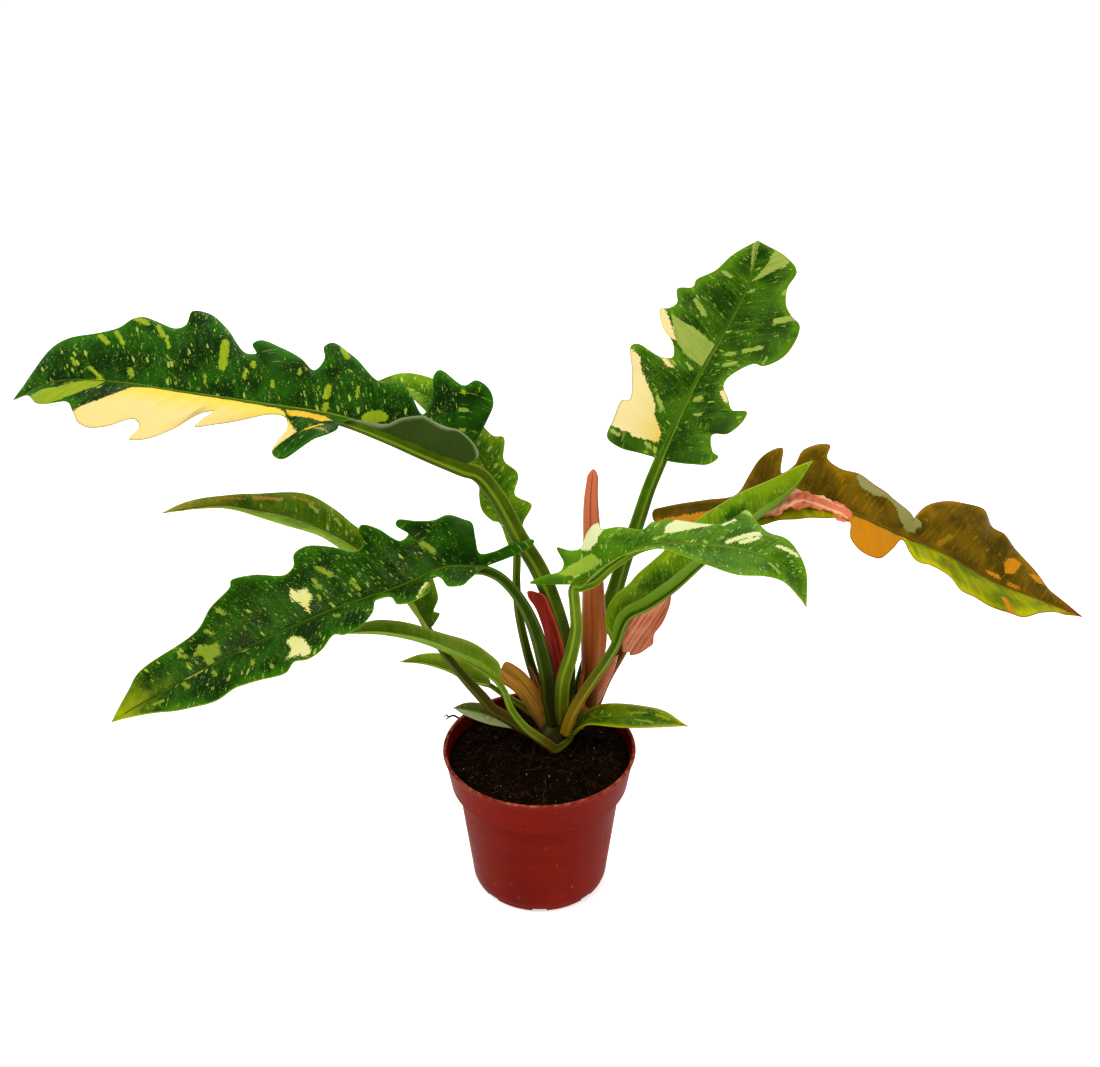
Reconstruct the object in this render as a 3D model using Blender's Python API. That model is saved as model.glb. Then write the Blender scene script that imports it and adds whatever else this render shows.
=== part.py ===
"""Potted philodendron: a lobed, variegated aroid in a 12 cm nursery pot.

Frame: the pot's axis is Z, it stands on z = 0, and +X runs along the spread of the two
longest leaves. Lengths in the tables are millimetres and become metres in `MM`.
"""

from math import pi

import bmesh
import bpy
import numpy as np

MM = 0.001

# ---- driving dimensions of the pot (mm) ----
POT_HEIGHT = 99.0
RIM_RADIUS = 60.0
COLLAR_HEIGHT = 24.3
COLLAR_FOOT_RADIUS = 55.5
BODY_TOP_RADIUS = 51.0
BASE_RADIUS = 42.2
WALL = 1.2
FOOT_RING_INNER = 33.5
CENTRE_DISC_RADIUS = 14.0
CHANNEL_RISE = 2.5
DRAIN_COUNT = 8
DRAIN_HOLE_RADIUS = 3.5
DRAIN_HOLE_CIRCLE = 24.0
DRAIN_HOLE_DEPTH = 8.0
DRAIN_HOLE_HEIGHT = 3.0
SLOT_SIZE = (6.0, 9.0, 4.2)
SLOT_OVERHANG = 1.0
SLOT_HEIGHT = 0.8
RIM_BEAD = 1.0
RIM_BEAD_DROP = 1.6
CHAMFER = 0.5
LEDGE_EASE = 0.6
FOOT_SLOPE = 1.5
POT_SEGMENTS = 48
SOIL_SEGMENTS = 32

# ---- potting mix and clearances (mm) ----
GAP = 0.4
SOIL_FLOOR = CHANNEL_RISE + WALL + GAP
SOIL_EDGE_HEIGHT = 91.2
SOIL_CROWN_HEIGHT = 92.4

# ---- leaves (mm) ----
BLADE_THICKNESS = 0.8
SHEATH_THICKNESS = 0.9
RIB_DROP = 1.4
RIB_REACH = 0.82
RIB_SAMPLES = 15
RIB_END_RADIUS = 0.8
RIB_TAPER = 0.7
VEIN_SWEEP = 0.45
VEIN_LEAN = 0.3
VEIN_EVENING = 0.06
STALK_SIDES = 8
RING_STEP = 12.0
LEAST_RINGS = 8

# ---- sampling, and how meshes are finished ----
CURVE_STEPS = 40
MIDRIB_SAMPLES = 241
MIDRIB_BLUR = 9
ROOT_STEPS = 1601
EDGE_STEPS = 1201
STALK_STEPS = 400
LOWER_STALK_STEPS = 50
FLAT = 1e-6
UNBOUNDED = 1e9
COLUMN_SHARES = (1.0, 0.5)
WELD_DISTANCE = 0.02
SHARP_ANGLE = pi / 5

# A leaf's route is its midrib, base to tip. Folds are (fraction of length, rise of the left
# half, rise of the right half) in degrees. Each outline goes from the base towards the tip
# as (distance along the midrib, distance out from it); the tip itself closes it.
LEAVES = {
    "far_left": dict(
        route=[(-42, 18, 285), (-63, 20, 293), (-88, 23, 303), (-114, 25, 312), (-159, 28, 319),
               (-204, 31, 325), (-244, 34, 330), (-276, 36, 329), (-303, 38, 317)],
        folds=[(0, 66, 42), (0.24, 58, 34), (0.31, 10, 28), (0.40, -22, 26), (0.52, -8, 26),
               (1, -5, 22)],
        left=[(-1, 3), (-5, 12), (2, 24), (14, 33), (22, 28), (43, 20), (51, 9), (64, 3), (75, 8),
              (84, 25), (96, 46), (108, 35), (103, 19), (107, 8), (116, 8), (143, 28), (152, 32),
              (144, 14), (151, 17), (162, 40), (172, 53), (180, 56), (179, 42), (184, 36),
              (196, 46), (205, 50), (212, 47), (219, 36), (226, 26), (236, 28), (243, 26),
              (259, 5)],
        right=[(0, 3), (-1, 14), (-3, 30), (-3, 42), (3, 50), (11, 52), (17, 46), (35, 51),
               (37, 46), (33, 34), (34, 20), (51, 34), (63, 30), (79, 44), (92, 53), (96, 49),
               (94, 40), (98, 30), (107, 37), (121, 44), (133, 47), (137, 43), (133, 36),
               (139, 35), (154, 52), (167, 62), (178, 62), (179, 50), (184, 46), (203, 52),
               (208, 50), (215, 41), (239, 34), (249, 28), (259, 15)],
        rows=44),
    "left": dict(
        route=[(-32, -6, 231), (-54, -12, 234), (-80, -20, 226), (-117, -32, 218),
               (-159, -45, 204), (-198, -58, 189), (-223, -66, 177), (-239, -72, 169)],
        folds=[(0, 15, 30), (0.3, 0, 26), (1, -5, 22)],
        left=[(0, 3), (5, 10), (14, 24), (20, 32), (26, 28), (28, 12), (32, 6), (38, 22), (56, 19),
              (58, 9), (66, 6), (71, 18), (81, 28), (90, 29), (95, 25), (104, 33), (113, 36),
              (120, 34), (126, 40), (133, 39), (155, 30), (168, 32), (184, 27), (203, 14),
              (219, 5)],
        right=[(-3, 1), (-16, 6), (-31, 14), (-34, 19), (-24, 18), (-7, 10), (1, 9), (2, 20),
               (3, 31), (8, 33), (16, 36), (22, 33), (28, 35), (36, 41), (38, 38), (34, 29),
               (39, 27), (49, 41), (59, 48), (62, 44), (61, 36), (67, 32), (80, 41), (93, 47),
               (100, 45), (103, 37), (109, 34), (125, 43), (138, 47), (140, 43), (154, 36),
               (166, 26), (190, 22), (206, 19), (214, 12)],
        rows=40),
    "upright": dict(
        route=[(73, 62, 267), (88, 82, 293), (100, 96, 312), (118, 114, 337), (129, 126, 356),
               (134, 136, 380)],
        folds=[(0, 12, 12), (1, 10, 10)],
        face=[(-0.35, -0.75, 0.55)],
        left=[(0, 3), (-1, 12), (-3, 25), (0, 35), (12, 36), (25, 36), (27, 32), (44, 39),
              (56, 46), (59, 43), (58, 27), (61, 20), (68, 24), (73, 34), (83, 42), (86, 38),
              (92, 35), (101, 39), (106, 31), (112, 31), (125, 23), (138, 15)],
        right=[(0, 3), (1, 12), (3, 22), (6, 32), (12, 36), (14, 31), (24, 26), (27, 36),
               (39, 42), (45, 41), (43, 32), (50, 25), (57, 19), (69, 23), (77, 30), (78, 36),
               (90, 45), (108, 44), (112, 36), (117, 29), (125, 26), (134, 29), (142, 20)],
        rows=34),
    "front": dict(
        route=[(20, -16, 225), (29, -18, 229), (42, -23, 244), (59, -31, 259), (88, -42, 266),
               (115, -54, 268), (134, -63, 262), (145, -70, 243)],
        folds=[(0, 50, 12), (0.15, 48, 10), (0.35, 8, 5), (1, 8, 5)],
        left=[(-5, 1.1), (-20, 4.5), (-27, 7), (-18, 9), (-6, 10), (-4, 15), (-7, 24), (2, 20),
              (12, 21), (20, 27), (27, 29), (28, 24), (36, 22), (50, 15), (54, 22), (66, 23),
              (92, 20), (99, 29), (102, 37), (111, 27), (119, 21), (129, 21), (140, 14)],
        right=[(0, 3), (6, 9), (20, 16), (36, 15), (49, 10), (64, 7), (85, 18), (102, 27),
               (118, 31), (130, 22), (142, 12)],
        rows=30),
    "lance": dict(
        route=[(45, 5, 172), (52, 8, 189), (65, 11, 195), (80, 14, 205), (97, 18, 220),
               (129, 27, 245), (150, 33, 261), (161, 38, 278)],
        folds=[(0, 20, 60), (0.5, 15, 50), (1, 10, 40)],
        left=[(0, 3), (4, 8), (14, 14), (26, 19), (40, 25), (59, 27), (90, 28), (110, 26),
              (129, 21), (150, 12)],
        right=[(0, 3), (8, 9), (22, 17), (48, 22), (78, 24), (108, 20), (135, 13), (154, 5)],
        rows=20),
    "bronze": dict(
        route=[(126, 52, 233), (138, 52, 237), (152, 51, 243), (169, 50, 244), (187, 48, 239),
               (204, 46, 232), (222, 44, 224), (250, 40, 212), (277, 36, 197), (308, 33, 185),
               (335, 30, 175)],
        folds=[(0, 40, -15), (0.35, 35, -20), (0.45, 30, -35), (0.52, 25, -5), (1, 15, 0)],
        left=[(-5, 1), (-30, 6.3), (-51, 11), (-54, 14), (-50, 17), (-18, 16), (-2, 15), (10, 26),
              (24, 38), (29, 38), (27, 21), (33, 24), (38, 35), (48, 41), (48, 31), (55, 26),
              (66, 27), (77, 24), (92, 21), (105, 17), (108, 8), (103, 4), (106, 15), (113, 30),
              (126, 42), (143, 50), (155, 51), (163, 45), (180, 37), (195, 24), (212, 8)],
        right=[(0, 3), (6, 11), (20, 12), (35, 15), (50, 12), (66, 8), (69, 20), (78, 27),
               (89, 25), (97, 13), (102, 3), (108, 9), (118, 21), (132, 24), (140, 32),
               (156, 28), (169, 30), (186, 24), (207, 10)],
        rows=38),
    "slender": dict(
        route=[(-67, 24, 170), (-85, 30, 201), (-110, 36, 220), (-131, 40, 231), (-151, 43, 238),
               (-172, 46, 241), (-190, 48, 243), (-230, 52, 236)],
        folds=[(0, 15, 20), (1, 10, 20)],
        left=[(0, 3), (7, 7), (27, 13), (47, 20), (65, 18), (91, 13), (100, 15), (115, 18),
              (130, 14), (145, 8), (168, 4)],
        right=[(0, 3), (1, 7), (3, 12), (7, 9), (11, 16), (18, 19), (27, 21), (47, 18), (75, 13),
               (92, 18), (113, 20), (138, 13), (156, 8), (180, 6)],
        rows=22),
    "arched": dict(
        route=[(-25, -4, 152), (-38, -4, 162), (-54, -3, 170), (-73, -1, 177), (-95, 2, 180),
               (-117, 5, 179)],
        folds=[(0, 50, 35), (1, 42, 30)],
        left=[(0, 3), (4, 5), (16, 9), (36, 11), (62, 10), (84, 5)],
        right=[(0, 3), (0, 5), (3, 9), (14, 11), (24, 12), (46, 10), (70, 10), (85, 8)],
        rows=16),
    "back": dict(
        route=[(-13, 38, 213), (-20, 41, 236), (-28, 46, 261), (-41, 53, 284), (-59, 60, 304),
               (-75, 64, 313), (-96, 68, 316)],
        folds=[(0, 10, 10), (0.5, 10, 10), (1, 10, 20)],
        face=[(0.25, -0.7, 0.5), (0.25, -0.5, 0.8), (0, 0, 1)],
        left=[(0, 3), (12, 4), (25, 5), (28, 9), (37, 14), (46, 13), (52, 11), (66, 19), (78, 24),
              (93, 25), (104, 17), (118, 12), (130, 6)],
        right=[(0, 3), (12, 6), (19, 10), (28, 18), (38, 10), (48, 16), (58, 12), (69, 19),
               (73, 14), (90, 12), (108, 13), (124, 11), (136, 8)],
        rows=24),
    "small_left": dict(
        route=[(-31, 24, 129), (-44, 25, 132), (-57, 26, 139), (-72, 26, 144), (-87, 27, 144)],
        folds=[(0, 10, 25), (1, 5, 20)],
        left=[(0, 2), (4, 4), (18, 5), (36, 4), (50, 2)],
        right=[(0, 2), (3, 5), (14, 10), (30, 10), (46, 6)],
        rows=12),
    "pale_low": dict(
        route=[(-11, 20, 97.5), (-25, 25, 101), (-39, 28, 104.5), (-55, 30, 107)],
        folds=[(0, 10, 20), (1, 10, 20)],
        left=[(0, 2), (9, 7), (20, 11), (31, 11), (41, 6)],
        right=[(0, 2), (6, 3), (16, 5), (28, 7), (39, 5)],
        rows=12),
    "low_right": dict(
        route=[(20, 4, 106), (31, 4, 116), (50, 3, 119), (71, 1, 119), (92, -1, 115)],
        folds=[(0, 5, 10), (1, 5, 10)],
        left=[(0, 2), (10, 9), (19, 12), (28, 13), (49, 11), (63, 8), (71, 3)],
        right=[(0, 2), (12, 6), (26, 13), (43, 16), (58, 12), (68, 6)],
        rows=12),
}

# Stalk routes run from the crown to just short of the blade; then foot, middle and top radius.
STALKS = {
    "far_left": ([(16, 20, 114), (17, 22, 123), (17, 25, 142), (14, 26, 164), (7, 25, 191),
                  (-1, 23, 214), (-11, 21, 234), (-24, 19, 263), (-35, 18, 279)], 3.2, 5.4, 4.6),
    "back": ([(5, 26, 106), (2, 30, 116), (-3, 33, 128), (-8, 36, 146), (-13, 37, 175),
              (-14, 38, 196)], 2.4, 2.7, 2.4),
    "left": ([(9, 11, 108), (6, 9, 127), (5, 6, 144), (2, 3, 164), (-2, 0, 183), (-8, -3, 201),
              (-16, -5, 216), (-24, -6, 225)], 3.0, 4.4, 3.0),
    "front": ([(14, 8, 111), (13.5, 4, 123), (14.5, -3, 150), (19, -7, 171), (22, -11, 193),
               (21, -14, 210)], 2.8, 4.2, 3.2),
    "lance": ([(16, 3, 106), (21, 2, 124), (32, 3, 145), (41, 4, 160)], 2.6, 3.5, 3.0),
    "bronze": ([(34, 32, 104), (42, 38, 124), (51, 40, 142), (63, 43, 168), (80, 47, 195),
                (99, 50, 214), (114, 52, 226)], 3.0, 3.5, 2.8),
    "upright": ([(24, 36, 111), (32, 43, 135), (39, 47, 156), (47, 52, 179), (53, 55, 201),
                 (60, 58, 223), (67, 61, 247)], 3.2, 5.0, 4.0),
    "slender": ([(-2, 8, 101), (-10, 7, 107), (-18, 8, 113), (-29, 9, 120), (-35, 10, 128),
                 (-45, 12, 140), (-55, 16, 152)], 2.8, 3.4, 2.4),
    "arched": ([(5, 1, 100), (0, -2, 106), (-8, -4, 115), (-17, -4, 129), (-21, -4, 142)],
               2.2, 2.5, 2.0),
    "small_left": ([(-1, 21, 105), (-12, 22, 114), (-22, 23, 121)], 1.9, 2.1, 1.6),
    "pale_low": ([(-2, 17, 97), (-6, 19, 96)], 1.4, 1.4, 1.0),
    "low_right": ([(20, 8, 96), (20, 5, 100)], 1.8, 1.8, 1.5),
}

# Scale leaves that once wrapped a bud, and the rolled leaf that has not yet opened.
SHEATHS = {
    "sheath_red": dict(
        route=[(12, 13, 143), (8, 15, 167), (4, 16, 184), (0, 17, 200)],
        folds=[(0, -25, -25), (1, -20, -20)], face=[(-0.2, -1, 0.1)],
        left=[(0, 3), (14, 5), (36, 6), (50, 4)],
        right=[(0, 3), (14, 5), (36, 6), (50, 4)],
        rows=10),
    "sheath_tan": dict(
        route=[(0, 13, 109), (-5, 13, 125), (-13, 12, 141), (-23, 10, 151)],
        folds=[(0, -25, -25), (1, -20, -20)], face=[(-0.6, -0.6, 0.5)],
        left=[(0, 3), (10, 6), (26, 7), (38, 4)],
        right=[(0, 3), (10, 6), (26, 7), (38, 4)],
        rows=10),
    "sheath_pink": dict(
        route=[(58, 36, 138), (69, 38, 153), (79, 40, 166), (88, 42, 185)],
        folds=[(0, 10, 10), (1, 10, 10)], face=[(0.1, -1, 0.3)],
        left=[(0, 2), (12, 3), (30, 4), (44, 2)],
        right=[(0, 2), (10, 8), (26, 11), (40, 6)],
        rows=10),
    "sheath_base": dict(
        route=[(37, 21, 107), (42, 22, 120), (47, 24, 134)],
        folds=[(0, -20, -20), (1, -20, -20)], face=[(0.4, -1, 0.1)],
        left=[(0, 3), (10, 5), (21, 3)],
        right=[(0, 3), (8, 7), (20, 5)],
        rows=8),
}
ROLL_ROUTE = [(32, 26, 119), (34, 28, 159), (33, 28, 196), (32, 28, 230), (31, 28, 257),
              (32, 28, 276)]
ROLL_RADII = (4.8, 7.6, 6.2, 5.2, 4.4, 1.2)
CROWN_ROUTE = [(9, 14, 93.0), (9, 14, 97), (11, 16, 101), (16, 21, 105), (21, 25, 108)]
CROWN_RADII = (8.0, 8.0, 7.2, 6.4, 4.5)
CROWN_RINGS = 7
CROWN_SIDES = 12
ROLL_RINGS = 11
ROLL_SIDES = 10

# ---- colours: linear RGB, roughness ----
TERRACOTTA = ((0.33, 0.035, 0.015), 0.45)
PEAT = ((0.012, 0.008, 0.006), 0.95)
STEM_GREEN = ((0.11, 0.20, 0.02), 0.45)
LEAF_COLOURS = {
    "far_left": (0.035, 0.11, 0.012),
    "left": (0.035, 0.12, 0.012),
    "upright": (0.035, 0.12, 0.012),
    "front": (0.09, 0.24, 0.03),
    "lance": (0.07, 0.20, 0.02),
    "bronze": (0.12, 0.09, 0.010),
    "slender": (0.10, 0.22, 0.02),
    "arched": (0.13, 0.28, 0.04),
    "back": (0.09, 0.24, 0.03),
    "small_left": (0.16, 0.30, 0.03),
    "pale_low": (0.28, 0.36, 0.14),
    "low_right": (0.10, 0.26, 0.03),
}
SHEATH_COLOURS = {
    "sheath_red": (0.35, 0.03, 0.03),
    "sheath_tan": (0.42, 0.20, 0.07),
    "sheath_pink": (0.70, 0.25, 0.20),
    "sheath_base": (0.62, 0.28, 0.20),
}
ROLL_COLOUR = (0.42, 0.13, 0.06)
LEAF_ROUGHNESS = 0.38
SHEATH_ROUGHNESS = 0.5


def clear_scene():
    """Take away whatever objects the file opened with."""
    for item in list(bpy.data.objects):
        bpy.data.objects.remove(item, do_unlink=True)


def principled(name, colour, roughness):
    """One plain material for a sub-part."""
    material = bpy.data.materials.new(name)
    material.use_nodes = True
    shader = material.node_tree.nodes["Principled BSDF"]
    shader.inputs["Base Color"].default_value = (*colour, 1.0)
    shader.inputs["Roughness"].default_value = roughness
    shader.inputs["Metallic"].default_value = 0.0
    return material


def add_object(name, vertices, faces, material):
    """Make a named object from millimetre vertices; coincident ones are welded.

    The faces are turned outwards: a closed mesh whose signed volume is negative is reversed.
    """
    mesh = bpy.data.meshes.new(name)
    mesh.from_pydata((np.asarray(vertices) * MM).tolist(), [], faces)
    working = bmesh.new()
    working.from_mesh(mesh)
    bmesh.ops.remove_doubles(working, verts=working.verts, dist=WELD_DISTANCE * MM)
    bmesh.ops.recalc_face_normals(working, faces=working.faces)
    bmesh.ops.triangulate(working, faces=working.faces)
    if working.calc_volume(signed=True) < 0:
        bmesh.ops.reverse_faces(working, faces=working.faces)
    working.to_mesh(mesh)
    working.free()
    mesh.materials.append(material)
    mesh.shade_smooth()
    mesh.set_sharp_from_angle(angle=SHARP_ANGLE)
    item = bpy.data.objects.new(name, mesh)
    bpy.context.collection.objects.link(item)
    return item


def smooth_route(points, count):
    """A centripetal Catmull-Rom curve through the points, read at equal steps of its length.

    Gives the curve's points and its length.
    """
    known = np.asarray(points, float)
    known = np.vstack([2 * known[0] - known[1], known, 2 * known[-1] - known[-2]])
    steps = np.sqrt(np.linalg.norm(np.diff(known, axis=0), axis=1))
    knots = np.concatenate([[0], np.cumsum(steps)])
    pieces = []
    for i in range(1, len(known) - 2):
        p0, p1, p2, p3 = known[i - 1:i + 3]
        t0, t1, t2, t3 = knots[i - 1:i + 3]
        t = np.linspace(t1, t2, CURVE_STEPS, endpoint=False)[:, None]
        a1 = (t1 - t) / (t1 - t0) * p0 + (t - t0) / (t1 - t0) * p1
        a2 = (t2 - t) / (t2 - t1) * p1 + (t - t1) / (t2 - t1) * p2
        a3 = (t3 - t) / (t3 - t2) * p2 + (t - t2) / (t3 - t2) * p3
        b1 = (t2 - t) / (t2 - t0) * a1 + (t - t0) / (t2 - t0) * a2
        b2 = (t3 - t) / (t3 - t1) * a2 + (t - t1) / (t3 - t1) * a3
        pieces.append((t2 - t) / (t2 - t1) * b1 + (t - t1) / (t2 - t1) * b2)
    curve = np.vstack(pieces + [known[-2:-1]])
    length = np.concatenate([[0], np.cumsum(np.linalg.norm(np.diff(curve, axis=0), axis=1))])
    wanted = np.linspace(0, length[-1], count)
    curve = np.stack([np.interp(wanted, length, axis) for axis in curve.T], axis=1)
    return curve, length[-1]


def unit(vectors):
    """Scale each row to length one."""
    return vectors / np.linalg.norm(vectors, axis=1)[:, None]


class Midrib:
    """The moving frame of a leaf: where its midrib is, and which way each half rises."""

    def __init__(self, leaf):
        self.line, self.length = smooth_route(leaf["route"], MIDRIB_SAMPLES)
        self.reach = np.linspace(0, self.length, MIDRIB_SAMPLES)
        ahead = unit(np.gradient(self.line, axis=0))
        margin = MIDRIB_BLUR // 2
        padded = np.pad(ahead, ((margin, margin), (0, 0)), mode="edge")
        kernel = np.ones(MIDRIB_BLUR) / MIDRIB_BLUR
        self.ahead = unit(np.stack([np.convolve(c, kernel, "valid") for c in padded.T], axis=1))
        faces = np.asarray(leaf.get("face", [(0, 0, 1)]), float)
        at = np.linspace(0, self.length, len(faces))
        facing = np.stack([np.interp(self.reach, at, axis) for axis in faces.T], axis=1)
        self.right = unit(np.cross(self.ahead, facing))
        self.up = np.cross(self.right, self.ahead)
        folds = np.asarray(leaf["folds"], float)
        at = folds[:, 0] * self.length
        self.rise = {
            -1: np.radians(np.interp(self.reach, at, folds[:, 1])),
            1: np.radians(np.interp(self.reach, at, folds[:, 2])),
        }

    def read(self, along, values):
        """Look up a frame array at distances along the midrib."""
        if values.ndim == 1:
            return np.interp(along, self.reach, values)
        return np.stack([np.interp(along, self.reach, axis) for axis in values.T], axis=-1)

    def place(self, along, out, side, lift):
        """Bend flat leaf points into space, then lift them off the leaf by a distance."""
        held = np.clip(along, 0, self.length)
        rise = self.read(held, self.rise[side])
        right = self.read(held, self.right)
        up = self.read(held, self.up)
        across = side * right * np.cos(rise)[..., None] + up * np.sin(rise)[..., None]
        normal = up * np.cos(rise)[..., None] - side * right * np.sin(rise)[..., None]
        overrun = (along - held)[..., None]
        spot = self.read(held, self.line) + self.read(held, self.ahead) * overrun
        return spot + across * out[..., None] + normal * lift

    def spine(self, along, lift):
        """Points above or below the midrib itself."""
        return self.read(along, self.line) + self.read(along, self.up) * lift


def vein_roots(edge, length):
    """Where the side vein that ends at each edge point leaves the midrib.

    Veins sweep forward by VEIN_SWEEP. The root is then kept between the two bounds that stop
    neighbouring veins from crossing, and made to advance steadily.
    """
    along, out = edge.T
    step_along = np.gradient(along)
    step_out = np.gradient(out)
    outward = np.maximum(step_out, FLAT)
    inward = np.maximum(-step_out, FLAT)
    low = np.where(step_out > FLAT, along - step_along / outward * out, -UNBOUNDED)
    high = np.where(step_out < -FLAT, along + step_along / inward * out, UNBOUNDED)
    low = np.maximum.accumulate(np.minimum(low, along + VEIN_LEAN * out))
    high = np.minimum.accumulate(np.maximum(high, 0)[::-1])[::-1]
    root = np.minimum(np.maximum(along - VEIN_SWEEP * out, low), high)
    root = np.maximum.accumulate(np.clip(root, 0, length))
    even = np.linspace(0, length, len(root))
    root = (1 - VEIN_EVENING) * root + VEIN_EVENING * even
    return (root - root[0]) / (root[-1] - root[0]) * length


def vein_rows(leaf, length):
    """Shared roots on the midrib, and the left and right edge point that each row reaches."""
    fine = np.linspace(0, length, ROOT_STEPS)
    sides = []
    travelled = 0.5 * fine
    for key in ("left", "right"):
        edge, girth = smooth_route(leaf[key] + [(length, 0)], EDGE_STEPS)
        edge[:, 1] = np.maximum(edge[:, 1], 0)
        share = np.linspace(0, 1, len(edge))
        reached = np.interp(fine, vein_roots(edge, length), share)
        travelled = travelled + reached * girth
        sides.append((edge, share, reached))
    roots = np.interp(np.linspace(0, travelled[-1], leaf["rows"] + 1), travelled, fine)
    edges = []
    for edge, share, reached in sides:
        spot = np.interp(roots, fine, reached)
        edges.append(np.stack([np.interp(spot, share, axis) for axis in edge.T], axis=1))
    return roots, edges


def grid_faces(rows, columns, offset, flip):
    """Quads over a grid of vertices that starts at an offset."""
    faces = []
    for row in range(rows - 1):
        for column in range(columns - 1):
            a = offset + row * columns + column
            quad = (a, a + 1, a + columns + 1, a + columns)
            faces.append(quad[::-1] if flip else quad)
    return faces


def build_blade(name, leaf, thickness, material):
    """A closed thin blade: an upper and a lower sheet joined by a wall round the edge."""
    midrib = Midrib(leaf)
    roots, edges = vein_rows(leaf, midrib.length)
    halves = ((-1, edges[0], COLUMN_SHARES), (1, edges[1], COLUMN_SHARES[::-1]))
    sheets = []
    for lift in (thickness / 2, -thickness / 2):
        columns = []
        for side, edge, shares in halves:
            for share in shares:
                along = roots + (edge[:, 0] - roots) * share
                columns.append(midrib.place(along, edge[:, 1] * share, side, lift))
        columns.insert(len(COLUMN_SHARES), midrib.spine(roots, lift))
        sheets.append(np.stack(columns, axis=1))
    rows, width = sheets[0].shape[:2]
    vertices = np.concatenate([sheet.reshape(-1, 3) for sheet in sheets])
    under = rows * width
    faces = grid_faces(rows, width, 0, False) + grid_faces(rows, width, under, True)
    rim = list(range(width))
    rim += [row * width + width - 1 for row in range(1, rows)]
    rim += [(rows - 1) * width + column for column in range(width - 2, -1, -1)]
    rim += [row * width for row in range(rows - 2, 0, -1)]
    for here, there in zip(rim, rim[1:] + rim[:1]):
        faces.append((there, here, under + here, under + there))
    return add_object(name, vertices, faces, material)


def sweep_tube(name, line, radii, sides, material):
    """Rings of a varying radius carried along a line, with both ends closed."""
    ahead = unit(np.gradient(line, axis=0))
    across = unit(np.cross(ahead, np.array([0.0, 1.0, 0.0])))
    other = np.cross(across, ahead)
    turn = np.arange(sides) * 2 * pi / sides
    cosine = np.cos(turn)[None, :, None]
    sine = np.sin(turn)[None, :, None]
    ring = cosine * across[:, None] + sine * other[:, None]
    vertices = (line[:, None] + ring * np.asarray(radii)[:, None, None]).reshape(-1, 3)
    faces = []
    for row in range(len(line) - 1):
        for i in range(sides):
            a = row * sides + i
            b = row * sides + (i + 1) % sides
            faces.append((a, b, b + sides, a + sides))
    faces.append(tuple(range(sides))[::-1])
    faces.append(tuple(range(len(vertices) - sides, len(vertices))))
    return add_object(name, vertices, faces, material)


def build_stalk(name, leaf, stalk, material):
    """The stalk from crown to blade, which goes on as the rib under the blade."""
    route, foot, middle, top = stalk
    midrib = Midrib(leaf)
    rib_along = np.linspace(0, RIB_REACH * midrib.length, RIB_SAMPLES)
    taper = np.linspace(0, 1, RIB_SAMPLES) ** RIB_TAPER
    rib_radius = top + (RIB_END_RADIUS - top) * taper
    rib = midrib.spine(rib_along, -(rib_radius + RIB_DROP)[:, None])
    line, stalk_length = smooth_route(np.vstack([route, rib]), STALK_STEPS)
    lower = smooth_route(np.vstack([route, rib[:1]]), LOWER_STALK_STEPS)[1]
    travelled = np.linspace(0, stalk_length, STALK_STEPS)
    knots = np.concatenate([[0, lower * 0.5], lower + rib_along])
    radii = np.interp(travelled, knots, np.concatenate([[foot, middle], rib_radius]))
    rings = max(LEAST_RINGS, int(stalk_length / RING_STEP))
    chosen = np.linspace(0, stalk_length, rings)
    line = np.stack([np.interp(chosen, travelled, axis) for axis in line.T], axis=1)
    return sweep_tube(name, line, np.interp(chosen, travelled, radii), STALK_SIDES, material)


def turn_profile(name, profile, segments, material):
    """Turn a closed profile of (radius, height) about Z; points on the axis weld to poles."""
    profile = np.asarray(profile, float)
    turn = np.arange(segments) * 2 * pi / segments
    around = np.stack([np.cos(turn), np.sin(turn)], axis=1)
    rings = profile[None, :, :1] * around[:, None, :]
    heights = np.broadcast_to(profile[None, :, 1:], (segments, len(profile), 1))
    vertices = np.concatenate([rings, heights], axis=2).reshape(-1, 3)
    faces = []
    count = len(profile)
    for i in range(segments):
        for j in range(count - 1):
            a = i * count + j
            b = (i + 1) % segments * count + j
            faces.append((a, b, b + 1, a + 1))
    return add_object(name, vertices, faces, material)


def wall_radius(height):
    """Outer radius of the pot's body at a height below the collar."""
    collar_foot = POT_HEIGHT - COLLAR_HEIGHT
    return BASE_RADIUS + (BODY_TOP_RADIUS - BASE_RADIUS) * height / collar_foot


def collar_radius(height):
    """Outer radius of the flared collar at a height."""
    share = (height - (POT_HEIGHT - COLLAR_HEIGHT)) / COLLAR_HEIGHT
    return COLLAR_FOOT_RADIUS + (RIM_RADIUS - RIM_BEAD - COLLAR_FOOT_RADIUS) * share


def add_cutter(name, shape, location, turn, target):
    """Cut a hidden shape out of the pot."""
    shape.name = name
    shape.location = location
    shape.rotation_euler = (0, 0, turn)
    shape.hide_render = True
    shape.display_type = "WIRE"
    cut = target.modifiers.new(name, "BOOLEAN")
    cut.operation = "DIFFERENCE"
    cut.solver = "EXACT"
    cut.object = shape


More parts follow.
